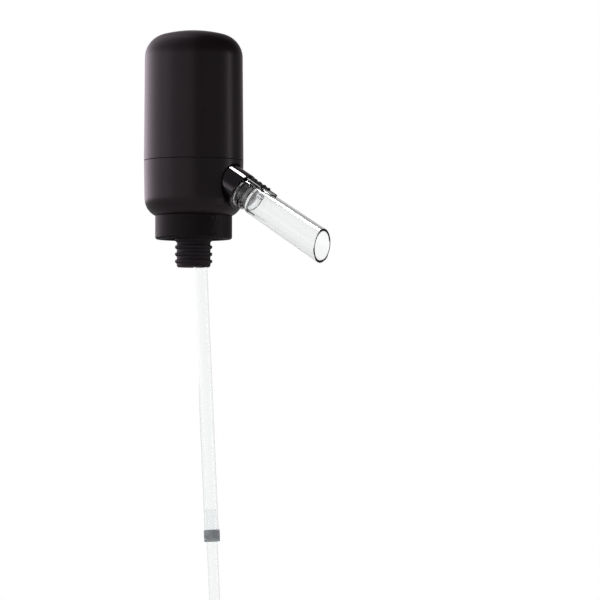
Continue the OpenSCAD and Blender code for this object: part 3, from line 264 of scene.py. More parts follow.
def finish(piece, material, slot, body, *replaced):
    """Gives a piece its one material, its body and the nodes it is for. Its slot argument is not
    used.
    """
    piece.data.materials.clear()
    piece.data.materials.append(material)
    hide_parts(*replaced)
    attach(piece, body)


cover_low, cover_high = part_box("upper_cover")
seam_r = cover_high.x
cover_z = cover_low.z
cover_top_r = 24.7 * mm
body_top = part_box("push_button")[1].z
wall = 2 * mm
crown_r = 62 * mm
crown_z = body_top - crown_r
shoulder_r = 12 * mm
shoulder_x = cover_top_r - shoulder_r
shoulder_z = crown_z + math.sqrt((crown_r - shoulder_r) ** 2 - shoulder_x ** 2)
shoulder_end = math.degrees(math.atan2(shoulder_z - crown_z, shoulder_x))
button_hole_r = 9.35 * mm
edge = 0.3 * mm
seam_edge = 0.12 * mm
# The drawn seam is narrower than the solids' by this much on either side.
seam_trim = 0.15 * mm
cover_bore_h = 6 * mm
bore_relief = 0.05 * mm


def crown_angle(radius, x):
    """Angle at which an arc about the crown's centre has this distance from the axis."""
    return math.degrees(math.acos(x / radius))


hole_angle = crown_angle(crown_r, button_hole_r + edge)
hole_z = crown_z + crown_r * math.sin(math.radians(hole_angle))
inner_hole_angle = crown_angle(crown_r - wall, button_hole_r)
cover_shell = turned(
    "cover_shell",
    [(seam_r - wall + seam_edge, cover_z - seam_trim)]
    + arc(seam_r - seam_edge, cover_z + seam_edge - seam_trim, seam_edge, -90, 0, 4)
    + [(seam_r + (cover_top_r - seam_r) * k / 6, cover_z + (shoulder_z - cover_z) * k / 6)
       for k in range(1, 6)]
    + arc(shoulder_x, shoulder_z, shoulder_r, 0, shoulder_end, 18)
    + arc(0, crown_z, crown_r, shoulder_end, hole_angle, 8)[1:]
    + arc(button_hole_r + edge, hole_z - edge, edge, 90, 180, 4)[1:]
    + arc(0, crown_z, crown_r - wall, inner_hole_angle, shoulder_end, 8)
    + arc(shoulder_x, shoulder_z, shoulder_r - wall, shoulder_end, 0, 10)[1:]
    + [(seam_r - wall - bore_relief, cover_z + cover_bore_h),
       (seam_r - wall, cover_z + cover_bore_h),
       (seam_r - wall, cover_z + seam_edge - seam_trim)],
    sides=192,
)
guide_low, guide_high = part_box("button_guide")
guide_ring = 15.8 * mm
boss_angles = (0, 120, 240)
boss_r = 2.3 * mm
boss_top = crown_z + 58.7 * mm
pilot_r = 0.8 * mm
pilot_depth = 3.2 * mm
for angle in boss_angles:
    boss = rod(boss_r, guide_high.z, boss_top, 32)
    cut(cover_shell, place(boss, around(angle, guide_ring)), "UNION")
for angle in boss_angles:
    screw_hole = rod(pilot_r, guide_low.z, guide_low.z + pilot_depth, 24)
    cut(cover_shell, place(screw_hole, around(angle, guide_ring)))
smooth(cover_shell)
# Black ABS with a spark-eroded texture: a satin sheen that spreads wide at the edges, over a
# black with a trace of warm purple. The real grain is about 0.05 mm and can't show, so it is
# drawn at 0.4 mm.
satin_abs = moulded("satin_black_abs", "292124", "251e21", 0.33, 0.4 * mm, 0.015 * mm)
finish(cover_shell, satin_abs, "cover_plastic", "cover", "upper_cover")

# Push button
# A loose cap in the crown, moulded like the cover but smoother, with a lip below the crown
# that stops it and a stem that reaches down to the switch.
button_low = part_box("push_button")[0]
button_r = 9 * mm
stem_r = 1.6 * mm
cap_bore_r = button_r - 1.4 * mm
button_lip_r = button_hole_r + 1.3 * mm
button_lip_t = 0.8 * mm
button_lip_drop = 0.95 * mm
button_lip_z = (
    crown_z + math.sqrt((crown_r - wall) ** 2 - button_lip_r ** 2) - button_lip_drop
)
button_edge_angle = crown_angle(crown_r, button_r - edge)
button_edge_z = crown_z + crown_r * math.sin(math.radians(button_edge_angle))
roof_z = body_top - 1.8 * mm
push_cap = turned(
    "push_cap",
    [(stem_r, button_low.z), (stem_r, roof_z), (cap_bore_r, roof_z),
     (cap_bore_r, button_lip_z), (button_lip_r, button_lip_z),
     (button_lip_r, button_lip_z + button_lip_t),
     (button_r, button_lip_z + button_lip_t), (button_r, button_edge_z - edge)]
    + arc(button_r - edge, button_edge_z - edge, edge, 10, 80, 3)
    + arc(0, crown_z, crown_r, button_edge_angle, 89.9, 6),
    sides=96,
    closed=False,
)
smooth(push_cap)
# The same ABS from a smoother tool: a little glossier and darker than the cover round it.
button_abs = moulded("smooth_black_abs", "1e181b", "1b1518", 0.3, 0.3 * mm, 0.008 * mm)
finish(push_cap, button_abs, "button_plastic", "button", "push_button")


# Button guide, its screws and its spring
# A moulded plate screwed up against the cover's three bosses. The button's stem runs in its
# hole, and a coil of spring steel between plate and button pushes the button back up.
def soften(piece, width, segments, degrees):
    """Rounds those edges of a piece that turn by more than an angle."""
    activate(piece)
    soft = piece.modifiers.new("soft_edges", "BEVEL")
    soft.width = width
    soft.segments = segments
    soft.angle_limit = math.radians(degrees)
    bpy.ops.object.modifier_apply(modifier=soft.name)


def refined(name, piece_name, bevel=0.12 * mm):
    """A merged copy of a CAD node with softened edges, which stands for the node."""
    activate(nodes[name])
    bpy.ops.object.duplicate()
    piece = bpy.context.object
    piece.name = piece.data.name = piece_name
    for key in [key for key in piece.keys() if key.startswith("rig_")]:
        del piece[key]
    bpy.ops.object.parent_clear(type="CLEAR_KEEP_TRANSFORM")
    bpy.ops.object.mode_set(mode="EDIT")
    bpy.ops.mesh.select_all(action="SELECT")
    bpy.ops.mesh.remove_doubles(threshold=0.001 * mm)
    bpy.ops.mesh.dissolve_limited(angle_limit=math.radians(0.3))
    bpy.ops.object.mode_set(mode="OBJECT")
    if bevel:
        soften(piece, bevel, 2, 40)
    smooth(piece, 30)
    return piece


natural_abs = moulded("natural_abs", "dcd8cd", "d3cec1", 0.42, 0.8 * mm, 0.02 * mm)
finish(refined("button_guide", "guide_plate"), natural_abs, "inner_plastic", "cover",
       "button_guide")
# Zinc-plated steel: bright, a little blue, with a gloss that drifts over each head.
zinc, zinc_tree, zinc_shader, zinc_at = surface(
    "zinc_plated_steel", "c4c8cd", Metallic=1.0, Roughness=0.3
)
zinc_tree.links.new(
    spread(zinc_tree, noise(zinc_tree, zinc_at, 0.8 * mm), 0.22, 0.38),
    zinc_shader.inputs["Roughness"],
)
finish(refined("guide_screws", "guide_fasteners", 0.08 * mm), zinc, "steel", "cover",
       "guide_screws")
button_coil = refined("button_spring", "button_coil", 0)
finish(button_coil, zinc, "steel", "cover", "button_spring")
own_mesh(button_coil)

# Lower housing
# The charcoal shell below the seam: a rounded lower edge, a floor with a hole for the plug,
# a wall with the socket's hole and shallow recess, a lip that locates the cover, and four
# posts that carry the works.
housing_low, housing_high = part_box("lower_housing")
collar_h = housing_low.z
lip_z = housing_high.z
seam_gap = 0.5 * mm
seam_low = cover_z - seam_gap
low_r = 24.8 * mm
toe_r = 9.6 * mm
toe_x = low_r - toe_r
collar_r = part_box("collar")[1].x
toe_z = collar_h + math.sqrt(toe_r ** 2 - (collar_r - toe_x) ** 2)
toe_start = -math.degrees(math.acos((collar_r - toe_x) / toe_r))
floor_z = collar_h + 2.2 * mm
lip_r = seam_r - wall - 0.3 * mm
lip_bore_r = lip_r - 1.7 * mm
ring_r = 0.71 * mm
ring_x = seam_r - wall - 0.76 * mm
ring_z = seam_low + 1.85 * mm
groove = math.degrees(math.acos((lip_r - ring_x) / ring_r))
plug_hole_r = 8 * mm
inner_toe = -math.degrees(math.asin((toe_z - floor_z) / (toe_r - wall)))
lip_round = 0.3 * mm
bore_low = seam_low - 2.2 * mm
bore_end = seam_low - 4.4 * mm
housing_shell = turned(
    "housing_shell",
    [(plug_hole_r, floor_z), (plug_hole_r, collar_h)]
    + arc(toe_x, toe_z, toe_r, toe_start, 0, 14)
    + [(low_r + (seam_r - low_r) * k / 4, toe_z + (seam_low - seam_edge - toe_z) * k / 4)
       for k in range(1, 4)]
    + arc(seam_r - seam_edge, seam_low + seam_trim - seam_edge, seam_edge, 0, 90, 4)
    + [(lip_r, seam_low + seam_trim)]
    + [(ring_x + ring_r * math.cos(math.radians(t)), ring_z + ring_r * math.sin(math.radians(t)))
       for t in (-groove, -90, -135, -180, -225, -270, groove - 360)]
    + arc(lip_r - lip_round, lip_z - lip_round, lip_round, 0, 90, 3)
    + [(lip_bore_r, lip_z), (lip_bore_r, bore_low), (seam_r - wall, bore_end)]
    + arc(toe_x, toe_z, toe_r - wall, 0, inner_toe, 8),
    sides=192,
)
spout_pitch = math.radians(31.5)
spout_x = 29.4 * mm
spout_z = 22.9 * mm
on_spout = (
    Matrix.Translation((spout_x, 0, spout_z))
    @ Matrix.Rotation(math.pi / 2 + spout_pitch, 4, "Y")
    @ Matrix.Rotation(math.pi, 4, "Z")
)
socket_r = 9.4 * mm
socket_back = 20.5 * mm
socket_in = (spout_x - socket_back) / math.cos(spout_pitch)
socket_fit = 0.1 * mm
recess_w = 0.9 * mm
recess_depth = 0.4 * mm
cut(housing_shell, place(rod(socket_r + socket_fit, -2 * socket_in, 0, 128), on_spout))
recess = place(rod(socket_r + recess_w, -2 * socket_in, 0, 128), on_spout)
cut(recess, rod(low_r - recess_depth, 0, seam_low + 5 * mm, 192))
cut(housing_shell, recess)
post_r = 2.6 * mm
post_ring = 19 * mm
post_top = 43.5 * mm
sink = 0.01 * mm
for angle in (60, 120, 240, 300):
    post = rod(post_r, floor_z - sink, post_top, 32)
    cut(housing_shell, place(post, around(angle, post_ring)), "UNION")
smooth(housing_shell)
finish(housing_shell, satin_abs, "housing_plastic", "pump_unit", "lower_housing")

# Seam ring
# A soft nitrile rubber ring in the lip's groove, which the cover slides over and which keeps
# splashes out of the seam. It is moulded, with a dull black skin.
black_rubber = moulded("matt_nitrile_rubber", "171618", "131214", 0.62, 0.5 * mm, 0.015 * mm)
finish(refined("seam_ring", "seam_seal", 0), black_rubber, "black_rubber", "pump_unit",
       "seam_ring")

# Collar
# A short matt ring below the housing that goes over the neck's lip. It is a piece of its own,
# held by three screws, with a softly rounded rim.
rim = 1.2 * mm
top_edge = 0.15 * mm
collar_bore_r = 15.6 * mm
collar_ring = turned(
    "collar_ring",
    arc(collar_bore_r + rim, rim, rim, 180, 270, 5)
    + arc(collar_r - rim, rim, rim, 270, 360, 8)
    + [(collar_r, collar_h - top_edge), (collar_r - top_edge, collar_h),
       (collar_bore_r, collar_h)],
    sides=160,
)
smooth(collar_ring)
# The same black ABS from a coarser tool: flat and matt. Its colour is a shade darker than the
# body's: partly its own tone, partly painted shade for the dark bottle neck that it sits on.
matt_abs_painted_shade = moulded(
    "matt_black_abs_painted_shade", "181215", "150f12", 0.48, 0.5 * mm, 0.02 * mm, Specular_IOR_Level=0.3
)
finish(collar_ring, matt_abs_painted_shade, "collar_plastic", "pump_unit", "collar")


def dress(material, *names):
    """Gives its material to CAD nodes whose shape is right as it is."""
    for name in names:
        nodes[name].data.materials.clear()
        nodes[name].data.materials.append(material)


dress(zinc, "collar_screws")

# Neck plug
# The soft silicone plug inside the collar: four ribs that seal the neck, a flange that lies on
# its lip, and a drink bore and an air bore through it.
plug_low, plug_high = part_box("neck_plug")
plug_r = 8.5 * mm
rib_r = 9.4 * mm
rib_w = 0.6 * mm
flank = 0.72 * mm
rib_count = 4
first_rib, rib_pitch = -11, 3.6
tip_chamfer = 0.6 * mm
flange_r = 15.3 * mm
flange_z = collar_h - 2.6 * mm
neck_boss_r = 7.9 * mm
bead_r = 9 * mm
bead_low = floor_z + 0.05 * mm
bead_high = floor_z + 0.6 * mm
plug_outline = [(plug_r - tip_chamfer, plug_low.z), (plug_r, plug_low.z + tip_chamfer)]
for k in range(rib_count):
    rib_z = (first_rib + rib_pitch * k) * mm
    plug_outline += [
        (plug_r, rib_z - rib_w - flank + 0.02 * mm), (rib_r - 0.1 * mm, rib_z - rib_w - 0.05 * mm),
        (rib_r, rib_z - rib_w + 0.1 * mm), (rib_r, rib_z + rib_w - 0.1 * mm),
        (rib_r - 0.12 * mm, rib_z + rib_w), (plug_r, rib_z + rib_w + flank / 3),
    ]
plug_outline += [
    (plug_r, flange_z), (flange_r, flange_z), (flange_r, collar_h), (neck_boss_r, collar_h),
    (neck_boss_r, bead_low), (bead_r, bead_low), (bead_r, bead_high),
    (neck_boss_r, plug_high.z),
]
tube_lean = math.radians(3)
on_drink_line = Matrix.Translation((4 * mm, 0, plug_low.z)) @ Matrix.Rotation(-tube_lean, 4, "Y")
on_air_line = Matrix.Translation((-5 * mm, 0, 0))
tube_grip = 12 * mm
tube_hole_r = 3.52 * mm
drink_bore_r = 2.02 * mm
air_bore_r = 1.35 * mm
silicone_plug = turned("silicone_plug", plug_outline, 128, closed=False)
cut(silicone_plug, place(rod(tube_hole_r, -1 * mm, tube_grip), on_drink_line))
cut(silicone_plug, place(rod(drink_bore_r, 11 * mm, 60 * mm), on_drink_line))
cut(silicone_plug, place(rod(air_bore_r, -16 * mm, 20 * mm), on_air_line))
smooth(silicone_plug)
# Silicone rubber in charcoal: matt and a little waxy, with the light sinking into its edges.
silicone = moulded(
    "matt_silicone", "2b282b", "252226", 0.6, 0.6 * mm, 0.02 * mm, Subsurface_Weight=0.05
)
finish(silicone_plug, silicone, "silicone", "pump_unit", "neck_plug")


# Spout socket
# The glossy black socket in the housing's wall, moulded in one with its saddle, its hose barb
# and the short grooved spigot that the clear spout plugs on.
def slice_off(piece, point, normal, fill):
    """Cuts away what lies on a plane's normal side. It fills the cut, or bridges its two rings."""
    activate(piece)
    bpy.ops.object.mode_set(mode="EDIT")
    bpy.ops.mesh.select_all(action="SELECT")
    bpy.ops.mesh.bisect(plane_co=point, plane_no=normal, clear_outer=True, use_fill=fill)
    if not fill:
        bpy.ops.mesh.select_mode(type="EDGE")
        bpy.ops.mesh.select_all(action="DESELECT")
        bpy.ops.mesh.select_non_manifold()
        bpy.ops.mesh.bridge_edge_loops()
    bpy.ops.mesh.select_all(action="SELECT")
    bpy.ops.mesh.normals_make_consistent(inside=False)
    bpy.ops.object.mode_set(mode="OBJECT")


spigot_r = 5.9 * mm
spigot_l = 4.6 * mm
groove_w = 0.3 * mm
groove_d = 0.28 * mm
seal_s = 2.9 * mm
seal_w = 0.6 * mm
seal_floor_r = spigot_r - 1.2 * mm
socket_round = 0.4 * mm
socket_outline = [(socket_r, -2 * socket_in)]
socket_outline += arc(socket_r - socket_round, -socket_round, socket_round, 0, 90, 5)
socket_outline += [(spigot_r, 0)]
for s in (0.9 * mm, 1.7 * mm):
    socket_outline += [
        (spigot_r, s - groove_w), (spigot_r - groove_d, s - groove_w / 2),
        (spigot_r - groove_d, s + groove_w / 2), (spigot_r, s + groove_w),
    ]
socket_outline += [
    (spigot_r, seal_s - seal_w), (seal_floor_r, seal_s - seal_w),
    (seal_floor_r, seal_s + seal_w), (spigot_r, seal_s + seal_w),
    (spigot_r, 3.85 * mm), (spigot_r - groove_d, 3.95 * mm), (spigot_r - groove_d, 4.2 * mm),
    (spigot_r - 0.05 * mm, spigot_l - 0.3 * mm), (spigot_r - 0.35 * mm, spigot_l),
]
socket_piece = place(turned("socket_piece", socket_outline, 128, closed=False), on_spout)
slice_off(socket_piece, (socket_back, 0, 0), (-1, 0, 0), fill=True)
saddle_wall = seam_r - wall - 0.4 * mm
saddle_t = 1.6 * mm
saddle_top = seam_low - 4.9 * mm
saddle = turned(
    "saddle",
    [(saddle_wall - saddle_t, toe_z), (saddle_wall, toe_z),
     (saddle_wall, saddle_top), (saddle_wall - saddle_t, saddle_top)],
    160,
)
cut(saddle, place(rod(socket_r + saddle_t, -2 * socket_in, 0, 96), on_spout), "INTERSECT")
cut(socket_piece, saddle, "UNION")
hose_room_r = 3.1 * mm
barb_r = 1.97 * mm
barb_bore_r = 1.27 * mm
socket_bore_r = 2.6 * mm
barb_back = -socket_in - 5.6 * mm
cut(socket_piece, place(rod(hose_room_r, -3 * socket_in, -socket_in, 48), on_spout))
cut(socket_piece, place(rod(barb_r, barb_back, -socket_in + 1 * mm, 48), on_spout), "UNION")
cut(socket_piece, place(rod(socket_bore_r, 2 * mm - socket_in, 2 * spigot_l, 64), on_spout))
cut(socket_piece, place(rod(barb_bore_r, 2 * barb_back, 3 * mm - socket_in, 48), on_spout))
smooth(socket_piece)
# Polished black ABS: sharp, bright reflections, with the faint waves of a moulded face.
gloss_black, gloss_tree, gloss_shader, gloss_at = surface(
    "polished_black_abs", "100d0f", Roughness=0.08, Coat_Weight=0.6, Coat_Roughness=0.03
)
relief(gloss_tree, gloss_shader, noise(gloss_tree, gloss_at, 5 * mm), 0.03 * mm, 0.15)
finish(socket_piece, gloss_black, "socket_plastic", "pump_unit", "spout_socket")
finish(refined("spigot_ring", "spigot_seal", 0), black_rubber, "black_rubber", "pump_unit",
       "spigot_ring")


# Spout
# One clear moulding: a hub with a raised rear ring that plugs over the spigot, a partition
# with the jet, a rounded shoulder, a slightly widening tube whose mouth is cut nearly upright,
# and a wedge tongue for the thumb on its upper side.
def pick_edges(piece, wanted):
    """Opens a piece for editing with those edges selected whose two ends pass a test."""
    activate(piece)
    bpy.ops.object.mode_set(mode="EDIT")
    bpy.ops.mesh.select_mode(type="EDGE")
    bpy.ops.mesh.select_all(action="DESELECT")
    bpy.ops.object.mode_set(mode="OBJECT")
    for line in piece.data.edges:
        start, end = (piece.data.vertices[v].co for v in line.vertices)
        line.select = wanted(start, end)
    bpy.ops.object.mode_set(mode="EDIT")


def soft_bar(name, s0, s1, low, high, width, round_by):
    """A bar along the spout's upper side, from s0 to s1 along its axis, with a round front end."""
    bpy.ops.object.select_all(action="DESELECT")
    bpy.ops.mesh.primitive_cube_add(size=1, location=((low + high) / 2, 0, (s0 + s1) / 2))
    piece = bpy.context.object
    piece.name = piece.data.name = name
    piece.scale = (high - low, width, s1 - s0)
    bpy.ops.object.transform_apply(location=True, rotation=True, scale=True)
    near = 0.01 * mm
    pick_edges(piece, lambda start, end: (
        min(start.z, end.z) > s1 - near and abs(start.y - end.y) < near
    ))
    bpy.ops.mesh.bevel(offset=round_by, segments=12)
    bpy.ops.object.mode_set(mode="OBJECT")
    return piece


hub_rear = 0.2 * mm
hub_r = 7.7 * mm
hub_ring_end = 4.2 * mm
hub_bore_r = 5.96 * mm
neck_r = 6.96 * mm
shoulder_s = 7.6 * mm
partition_t = 1.1 * mm
tube_start = shoulder_s + 0.8 * mm
spout_r = 7.4 * mm
mouth_r = 7.95 * mm
spout_wall = 1.2 * mm
ring_round = 0.35 * mm
bore_lead = 0.2 * mm
neck_fillet = 0.15 * mm
shoulder_round = 0.8 * mm
inner_round = 0.6 * mm
mouth_x = 75.3 * mm
mouth_lean = math.radians(9)
tube_end_s = (mouth_x - spout_x) / math.cos(spout_pitch) + 6 * mm


def tube_radius(s):
    """Outer radius of the spout's widening tube at a distance along its axis."""
    return spout_r + (mouth_r - spout_r) * (s - tube_start) / (tube_end_s - tube_start)


clear_outline = (
    [(hub_bore_r, shoulder_s), (hub_bore_r, hub_rear + bore_lead)]
    + [(hub_bore_r + bore_lead, hub_rear)]
    + arc(hub_r - ring_round, hub_rear + ring_round, ring_round, -90, 0, 4)
    + arc(hub_r - ring_round, hub_ring_end - ring_round, ring_round, 0, 90, 4)
    + [(neck_r + neck_fillet, hub_ring_end), (neck_r, hub_ring_end + neck_fillet)]
    + arc(spout_r - shoulder_round, tube_start, shoulder_round, -60, 0, 5)
    + [(tube_radius(tube_end_s), tube_end_s),
       (tube_radius(tube_end_s) - spout_wall, tube_end_s)]
    + [(tube_radius(tube_start + 2 * mm) - spout_wall, tube_start + 2 * mm)]
    + arc(spout_r - spout_wall - inner_round, shoulder_s + partition_t + inner_round,
          inner_round, 0, -90, 4)
)
clear_spout = place(turned("clear_spout", clear_outline, 160, closed=False), on_spout)
mouth_z = spout_z - (mouth_x - spout_x) * math.tan(spout_pitch)
mouth = Vector((mouth_x, 0, mouth_z))
mouth_face = Vector((math.cos(mouth_lean), 0, -math.sin(mouth_lean)))
slice_off(clear_spout, tuple(mouth), tuple(mouth_face), fill=False)


def on_rim(start, end):
    """Whether an edge runs round the mouth, in its face, and not across the wall."""
    start, end = start - mouth, end - mouth
    in_face = max(abs(start.dot(mouth_face)), abs(end.dot(mouth_face))) < 0.002 * mm
    return in_face and abs((start - end).dot(start + end)) < 0.4 * mm ** 2


pick_edges(clear_spout, on_rim)
bpy.ops.mesh.bevel(offset=0.25 * mm, segments=1)
bpy.ops.object.mode_set(mode="OBJECT")
tongue_up = 8 * mm
tongue_w = 7 * mm
tongue_l = 17.8 * mm
tongue = soft_bar(
    "tongue", hub_rear, tongue_l, hub_bore_r + 0.4 * mm, tongue_up, tongue_w, 3.4 * mm
)
underside = 0.1
slice_off(
    tongue, (6.5 * mm, 0, 12 * mm), (-math.cos(underside), 0, math.sin(underside)), fill=True
)
# Both long upper edges are cut to flats, and each flat mirrors the box overhead as a white line.
flat_from = 2.4 * mm
flat_up, flat_out = 0.8437, 0.5368
for side in (-1, 1):
    slice_off(
        tongue, (tongue_up, side * flat_from, 0), (flat_up, side * flat_out, 0), fill=True
    )
soften(tongue, 0.25 * mm, 4, 75)
cut(clear_spout, place(tongue, on_spout), "UNION")
jet_up = 3 * mm
jet_r = 1.4 * mm
jet_at = on_spout @ Matrix.Translation((jet_up, 0, 0))
nozzle = rod(jet_r, shoulder_s + 0.5 * mm, shoulder_s + partition_t + 3 * mm, 48)
cut(clear_spout, place(nozzle, jet_at), "UNION")
cut(clear_spout, place(rod(jet_r / 2, shoulder_s - 1 * mm, shoulder_s + 9 * mm, 32), jet_at))
smooth(clear_spout, 25)


def wall_tint(tree):
    """Clear plastic takes about one percent of the light per millimetre, so edges are greyer."""
    depth = node(tree, "ShaderNodeVolumeAbsorption", Color=linear("7c8486"), Density=15.0)
    tree.links.new(depth.outputs["Volume"], tree.nodes["Material Output"].inputs["Volume"])


# Clear polycarbonate: no colour, a polished face with the faint waves of a moulding, and a
# refraction strong enough to draw dark lines along its walls.
clear_pc, pc_tree, pc_shader, pc_at = surface(
    "clear_polycarbonate", "fdfefe", Roughness=0.0, IOR=1.52, Transmission_Weight=1.0
)
relief(pc_tree, pc_shader, noise(pc_tree, pc_at, 4 * mm), 0.03 * mm, 0.05)
wall_tint(pc_tree)
finish(clear_spout, clear_pc, "clear_plastic", "spout_piece", "spout")

# Thumb grip
# A strip of black thermoplastic rubber moulded on the tongue, with four scalloped ridges
# across it, on which the thumb pushes the spout off its spigot.
grip_w = 4.6 * mm
grip_s = 0.6 * mm
ridge_pitch = 3.1 * mm
ridge_r = ridge_pitch * 0.62
ridge_half = 40
ridge_count = 4
grip_base = tongue_up + 0.4 * mm
ridge_top = tongue_up + 0.85 * mm
grip_end = grip_s + ridge_count * ridge_pitch
bpy.ops.object.select_all(action="DESELECT")
bpy.ops.mesh.primitive_plane_add(
    size=1, location=(grip_base, 0, grip_s + 0.05 * mm), rotation=(0, math.pi / 2, 0)
)
rubber_grip = bpy.context.object
rubber_grip.name = rubber_grip.data.name = "rubber_grip"
rubber_grip.scale = (0.1 * mm, grip_w, 1)
bpy.ops.object.transform_apply(location=True, rotation=True, scale=True)
grip_profile = [(grip_base, grip_s + 0.1 * mm)]
for k in range(ridge_count):
    for turn in range(-ridge_half, ridge_half + 1, 8):
        grip_profile.append((
            ridge_top - ridge_r + ridge_r * math.cos(math.radians(turn)),
            grip_s + (k + 0.5) * ridge_pitch + ridge_r * math.sin(math.radians(turn)),
        ))
grip_profile.append((grip_base, grip_end))
pick_edges(rubber_grip, lambda start, end: min(start.z, end.z) > grip_s + 0.09 * mm)
for before, after in zip(grip_profile, grip_profile[1:]):
    step = (after[0] - before[0], 0, after[1] - before[1])
    bpy.ops.mesh.extrude_edges_move(TRANSFORM_OT_translate={"value": step})
bpy.ops.mesh.select_all(action="SELECT")
bpy.ops.mesh.extrude_region_move(TRANSFORM_OT_translate={"value": (-1 * mm, 0, 0)})
bpy.ops.transform.resize(value=(0, 1, 1), center_override=(tongue_up, 0, 0))
bpy.ops.mesh.select_all(action="SELECT")
bpy.ops.mesh.normals_make_consistent(inside=False)
bpy.ops.object.mode_set(mode="OBJECT")
cut(
    rubber_grip,
    soft_bar("grip_plan", 0, grip_end, 0, 2 * tongue_up, grip_w, 2.2 * mm),
    "INTERSECT",
)
soften(rubber_grip, 0.12 * mm, 2, 50)
place(rubber_grip, on_spout)
smooth(rubber_grip, 30)
finish(rubber_grip, black_rubber, "black_rubber", "spout_piece", "spout_grip")

# Dip tubes
# Two clear extruded tubes on a line that leans three degrees. The lower one slides inside the
# upper one to suit the bottle's depth, and its end is cut slantwise so that it can't seal
# itself on the floor.
tube_r = 3.5 * mm
bore_r = 2.8 * mm
outer_end = -136 * mm
slide_r = 2.68 * mm
slide_bore_r = slide_r - 0.7 * mm
slide_top = -122 * mm
slide_end = -264 * mm
tube_lip = 0.12 * mm
tip_cut = math.radians(35)


def clear_tube(name, radius, bore, low, high):
    """A thin clear tube on the drink line, with fire-polished ends."""
    lip = tube_lip
    return turned(
        name,
        [(bore, low + lip), (bore + lip, low), (radius - lip, low), (radius, low + lip)]
        + [(radius, high - lip), (radius - lip, high), (bore + lip, high), (bore, high - lip)],
        64,
    )


upper_tube = clear_tube("upper_tube", tube_r, bore_r, outer_end, tube_grip)
smooth(place(upper_tube, on_drink_line))
lower_tube = turned(
    "lower_tube",
    [(slide_bore_r, slide_end), (slide_r, slide_end),
     (slide_r, slide_top - tube_lip), (slide_r - tube_lip, slide_top),
     (slide_bore_r + tube_lip, slide_top), (slide_bore_r, slide_top - tube_lip)],
    64,
)
slice_off(
    lower_tube, (0, 0, slide_end), (-math.sin(tip_cut), 0, -math.cos(tip_cut)), fill=True
)
smooth(place(lower_tube, on_drink_line))
# Extruded acrylic: clear, with the faint lengthwise die lines of an extrusion.
tube_acrylic, tube_tree, tube_shader, tube_at = surface(
    "extruded_acrylic", "fcfdfd", Roughness=0.0, IOR=1.49, Transmission_Weight=1.0
)
die_at = node(
    tube_tree, "ShaderNodeMapping", Vector=tube_at, Scale=(1, 1, 0.02)
).outputs["Vector"]
relief(tube_tree, tube_shader, noise(tube_tree, die_at, 1.2 * mm, 0.0), 0.01 * mm, 0.1)
wall_tint(tube_tree)
finish(upper_tube, tube_acrylic, "tube_plastic", "pump_unit", "outer_tube")
finish(lower_tube, tube_acrylic, "tube_plastic", "sliding_tube", "inner_tube")

# Tube seal
# A soft ring on the upper tube's end that grips the lower one and keeps the air out.
ring_out_r = 4 * mm
ring_grip_r = 2.74 * mm
upper_round = 0.15 * mm
lower_round = 0.4 * mm
ring_top = outer_end + 4 * mm
ring_low = outer_end - 2 * mm
seal_ring = turned(
    "seal_ring",
    [(tube_hole_r, outer_end), (tube_hole_r, ring_top - 0.1 * mm)]
    + arc(ring_out_r - upper_round, ring_top - upper_round, upper_round, 90, 0, 3)
    + arc(ring_out_r - lower_round, ring_low + lower_round, lower_round, 0, -90, 4)
    + [(2.9 * mm, ring_low), (ring_grip_r, ring_low + 0.15 * mm), (ring_grip_r, outer_end)],
    64,
)
smooth(place(seal_ring, on_drink_line))
# Translucent silicone: milky, soft in its reflections, with light that spreads inside it.
soft_clear, soft_tree, soft_shader, soft_at = surface(
    "translucent_silicone", "dfe3e4", Roughness=0.35, IOR=1.41, Transmission_Weight=0.7,
    Subsurface_Weight=0.2,
)
relief(soft_tree, soft_shader, noise(soft_tree, soft_at, 0.6 * mm), 0.01 * mm, 0.3)
finish(seal_ring, soft_clear, "soft_clear", "pump_unit", "tube_seal")
dress(soft_clear, "riser_hose", "air_hose")

# Dry cells
# Six AAA cells that stand in a ring round the motor, turned alternately end for end: a film
# sleeve shrunk over each rolled steel edge, and a pressed nub on the plus end.
cell_l = 44.5 * mm
cell_r = 5.25 * mm
cell_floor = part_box("battery_1")[0].z
cell_ring = 16.3 * mm
cell = turned(
    "cell",
    [(cell_r - 1.1 * mm, cell_floor + 0.05 * mm), (cell_r - 0.95 * mm, cell_floor)]
    + arc(cell_r - 0.5 * mm, cell_floor + 0.5 * mm, 0.5 * mm, -90, 0, 5)
    + arc(cell_r - 0.45 * mm, cell_floor + cell_l - 1.25 * mm, 0.45 * mm, 0, 90, 5)
    + [(cell_r - 0.9 * mm, cell_floor + cell_l - 0.95 * mm),
       (1.9 * mm, cell_floor + cell_l - 0.95 * mm)]
    + arc(1.65 * mm, cell_floor + cell_l - 0.25 * mm, 0.25 * mm, 0, 90, 3),
    64,
    closed=False,
)
smooth(cell)


def sleeved(name, code, dark_code):
    """Printed film over a steel can: the sleeve's colour on the side, bare steel at both ends."""
    material, tree, shader, at = surface(name, code, Roughness=0.3, Coat_Weight=0.5)
    flow = ramp(tree, noise(tree, at, 6 * mm), dark_code, code)
    height = node(tree, "ShaderNodeSeparateXYZ", Vector=at).outputs["Z"]
    middle_z = cell_floor + cell_l / 2
    off = node(
        tree, "ShaderNodeMath", {"operation": "SUBTRACT"}, i0=height, i1=middle_z
    ).outputs["Value"]
    far_off = node(tree, "ShaderNodeMath", {"operation": "ABSOLUTE"}, i0=off).outputs["Value"]
    bare = node(
        tree, "ShaderNodeMath", {"operation": "GREATER_THAN"}, i0=far_off,
        i1=cell_l / 2 - 1 * mm,
    ).outputs["Value"]
    colour = node(
        tree, "ShaderNodeMix", {"data_type": "RGBA"}, i0=bare, i6=flow,
        i7=linear("b9bcc0"),
    ).outputs[2]
    tree.links.new(colour, shader.inputs["Base Color"])
    tree.links.new(bare, shader.inputs["Metallic"])
    relief(tree, shader, noise(tree, at, 3 * mm), 0.01 * mm, 0.3)
    return material


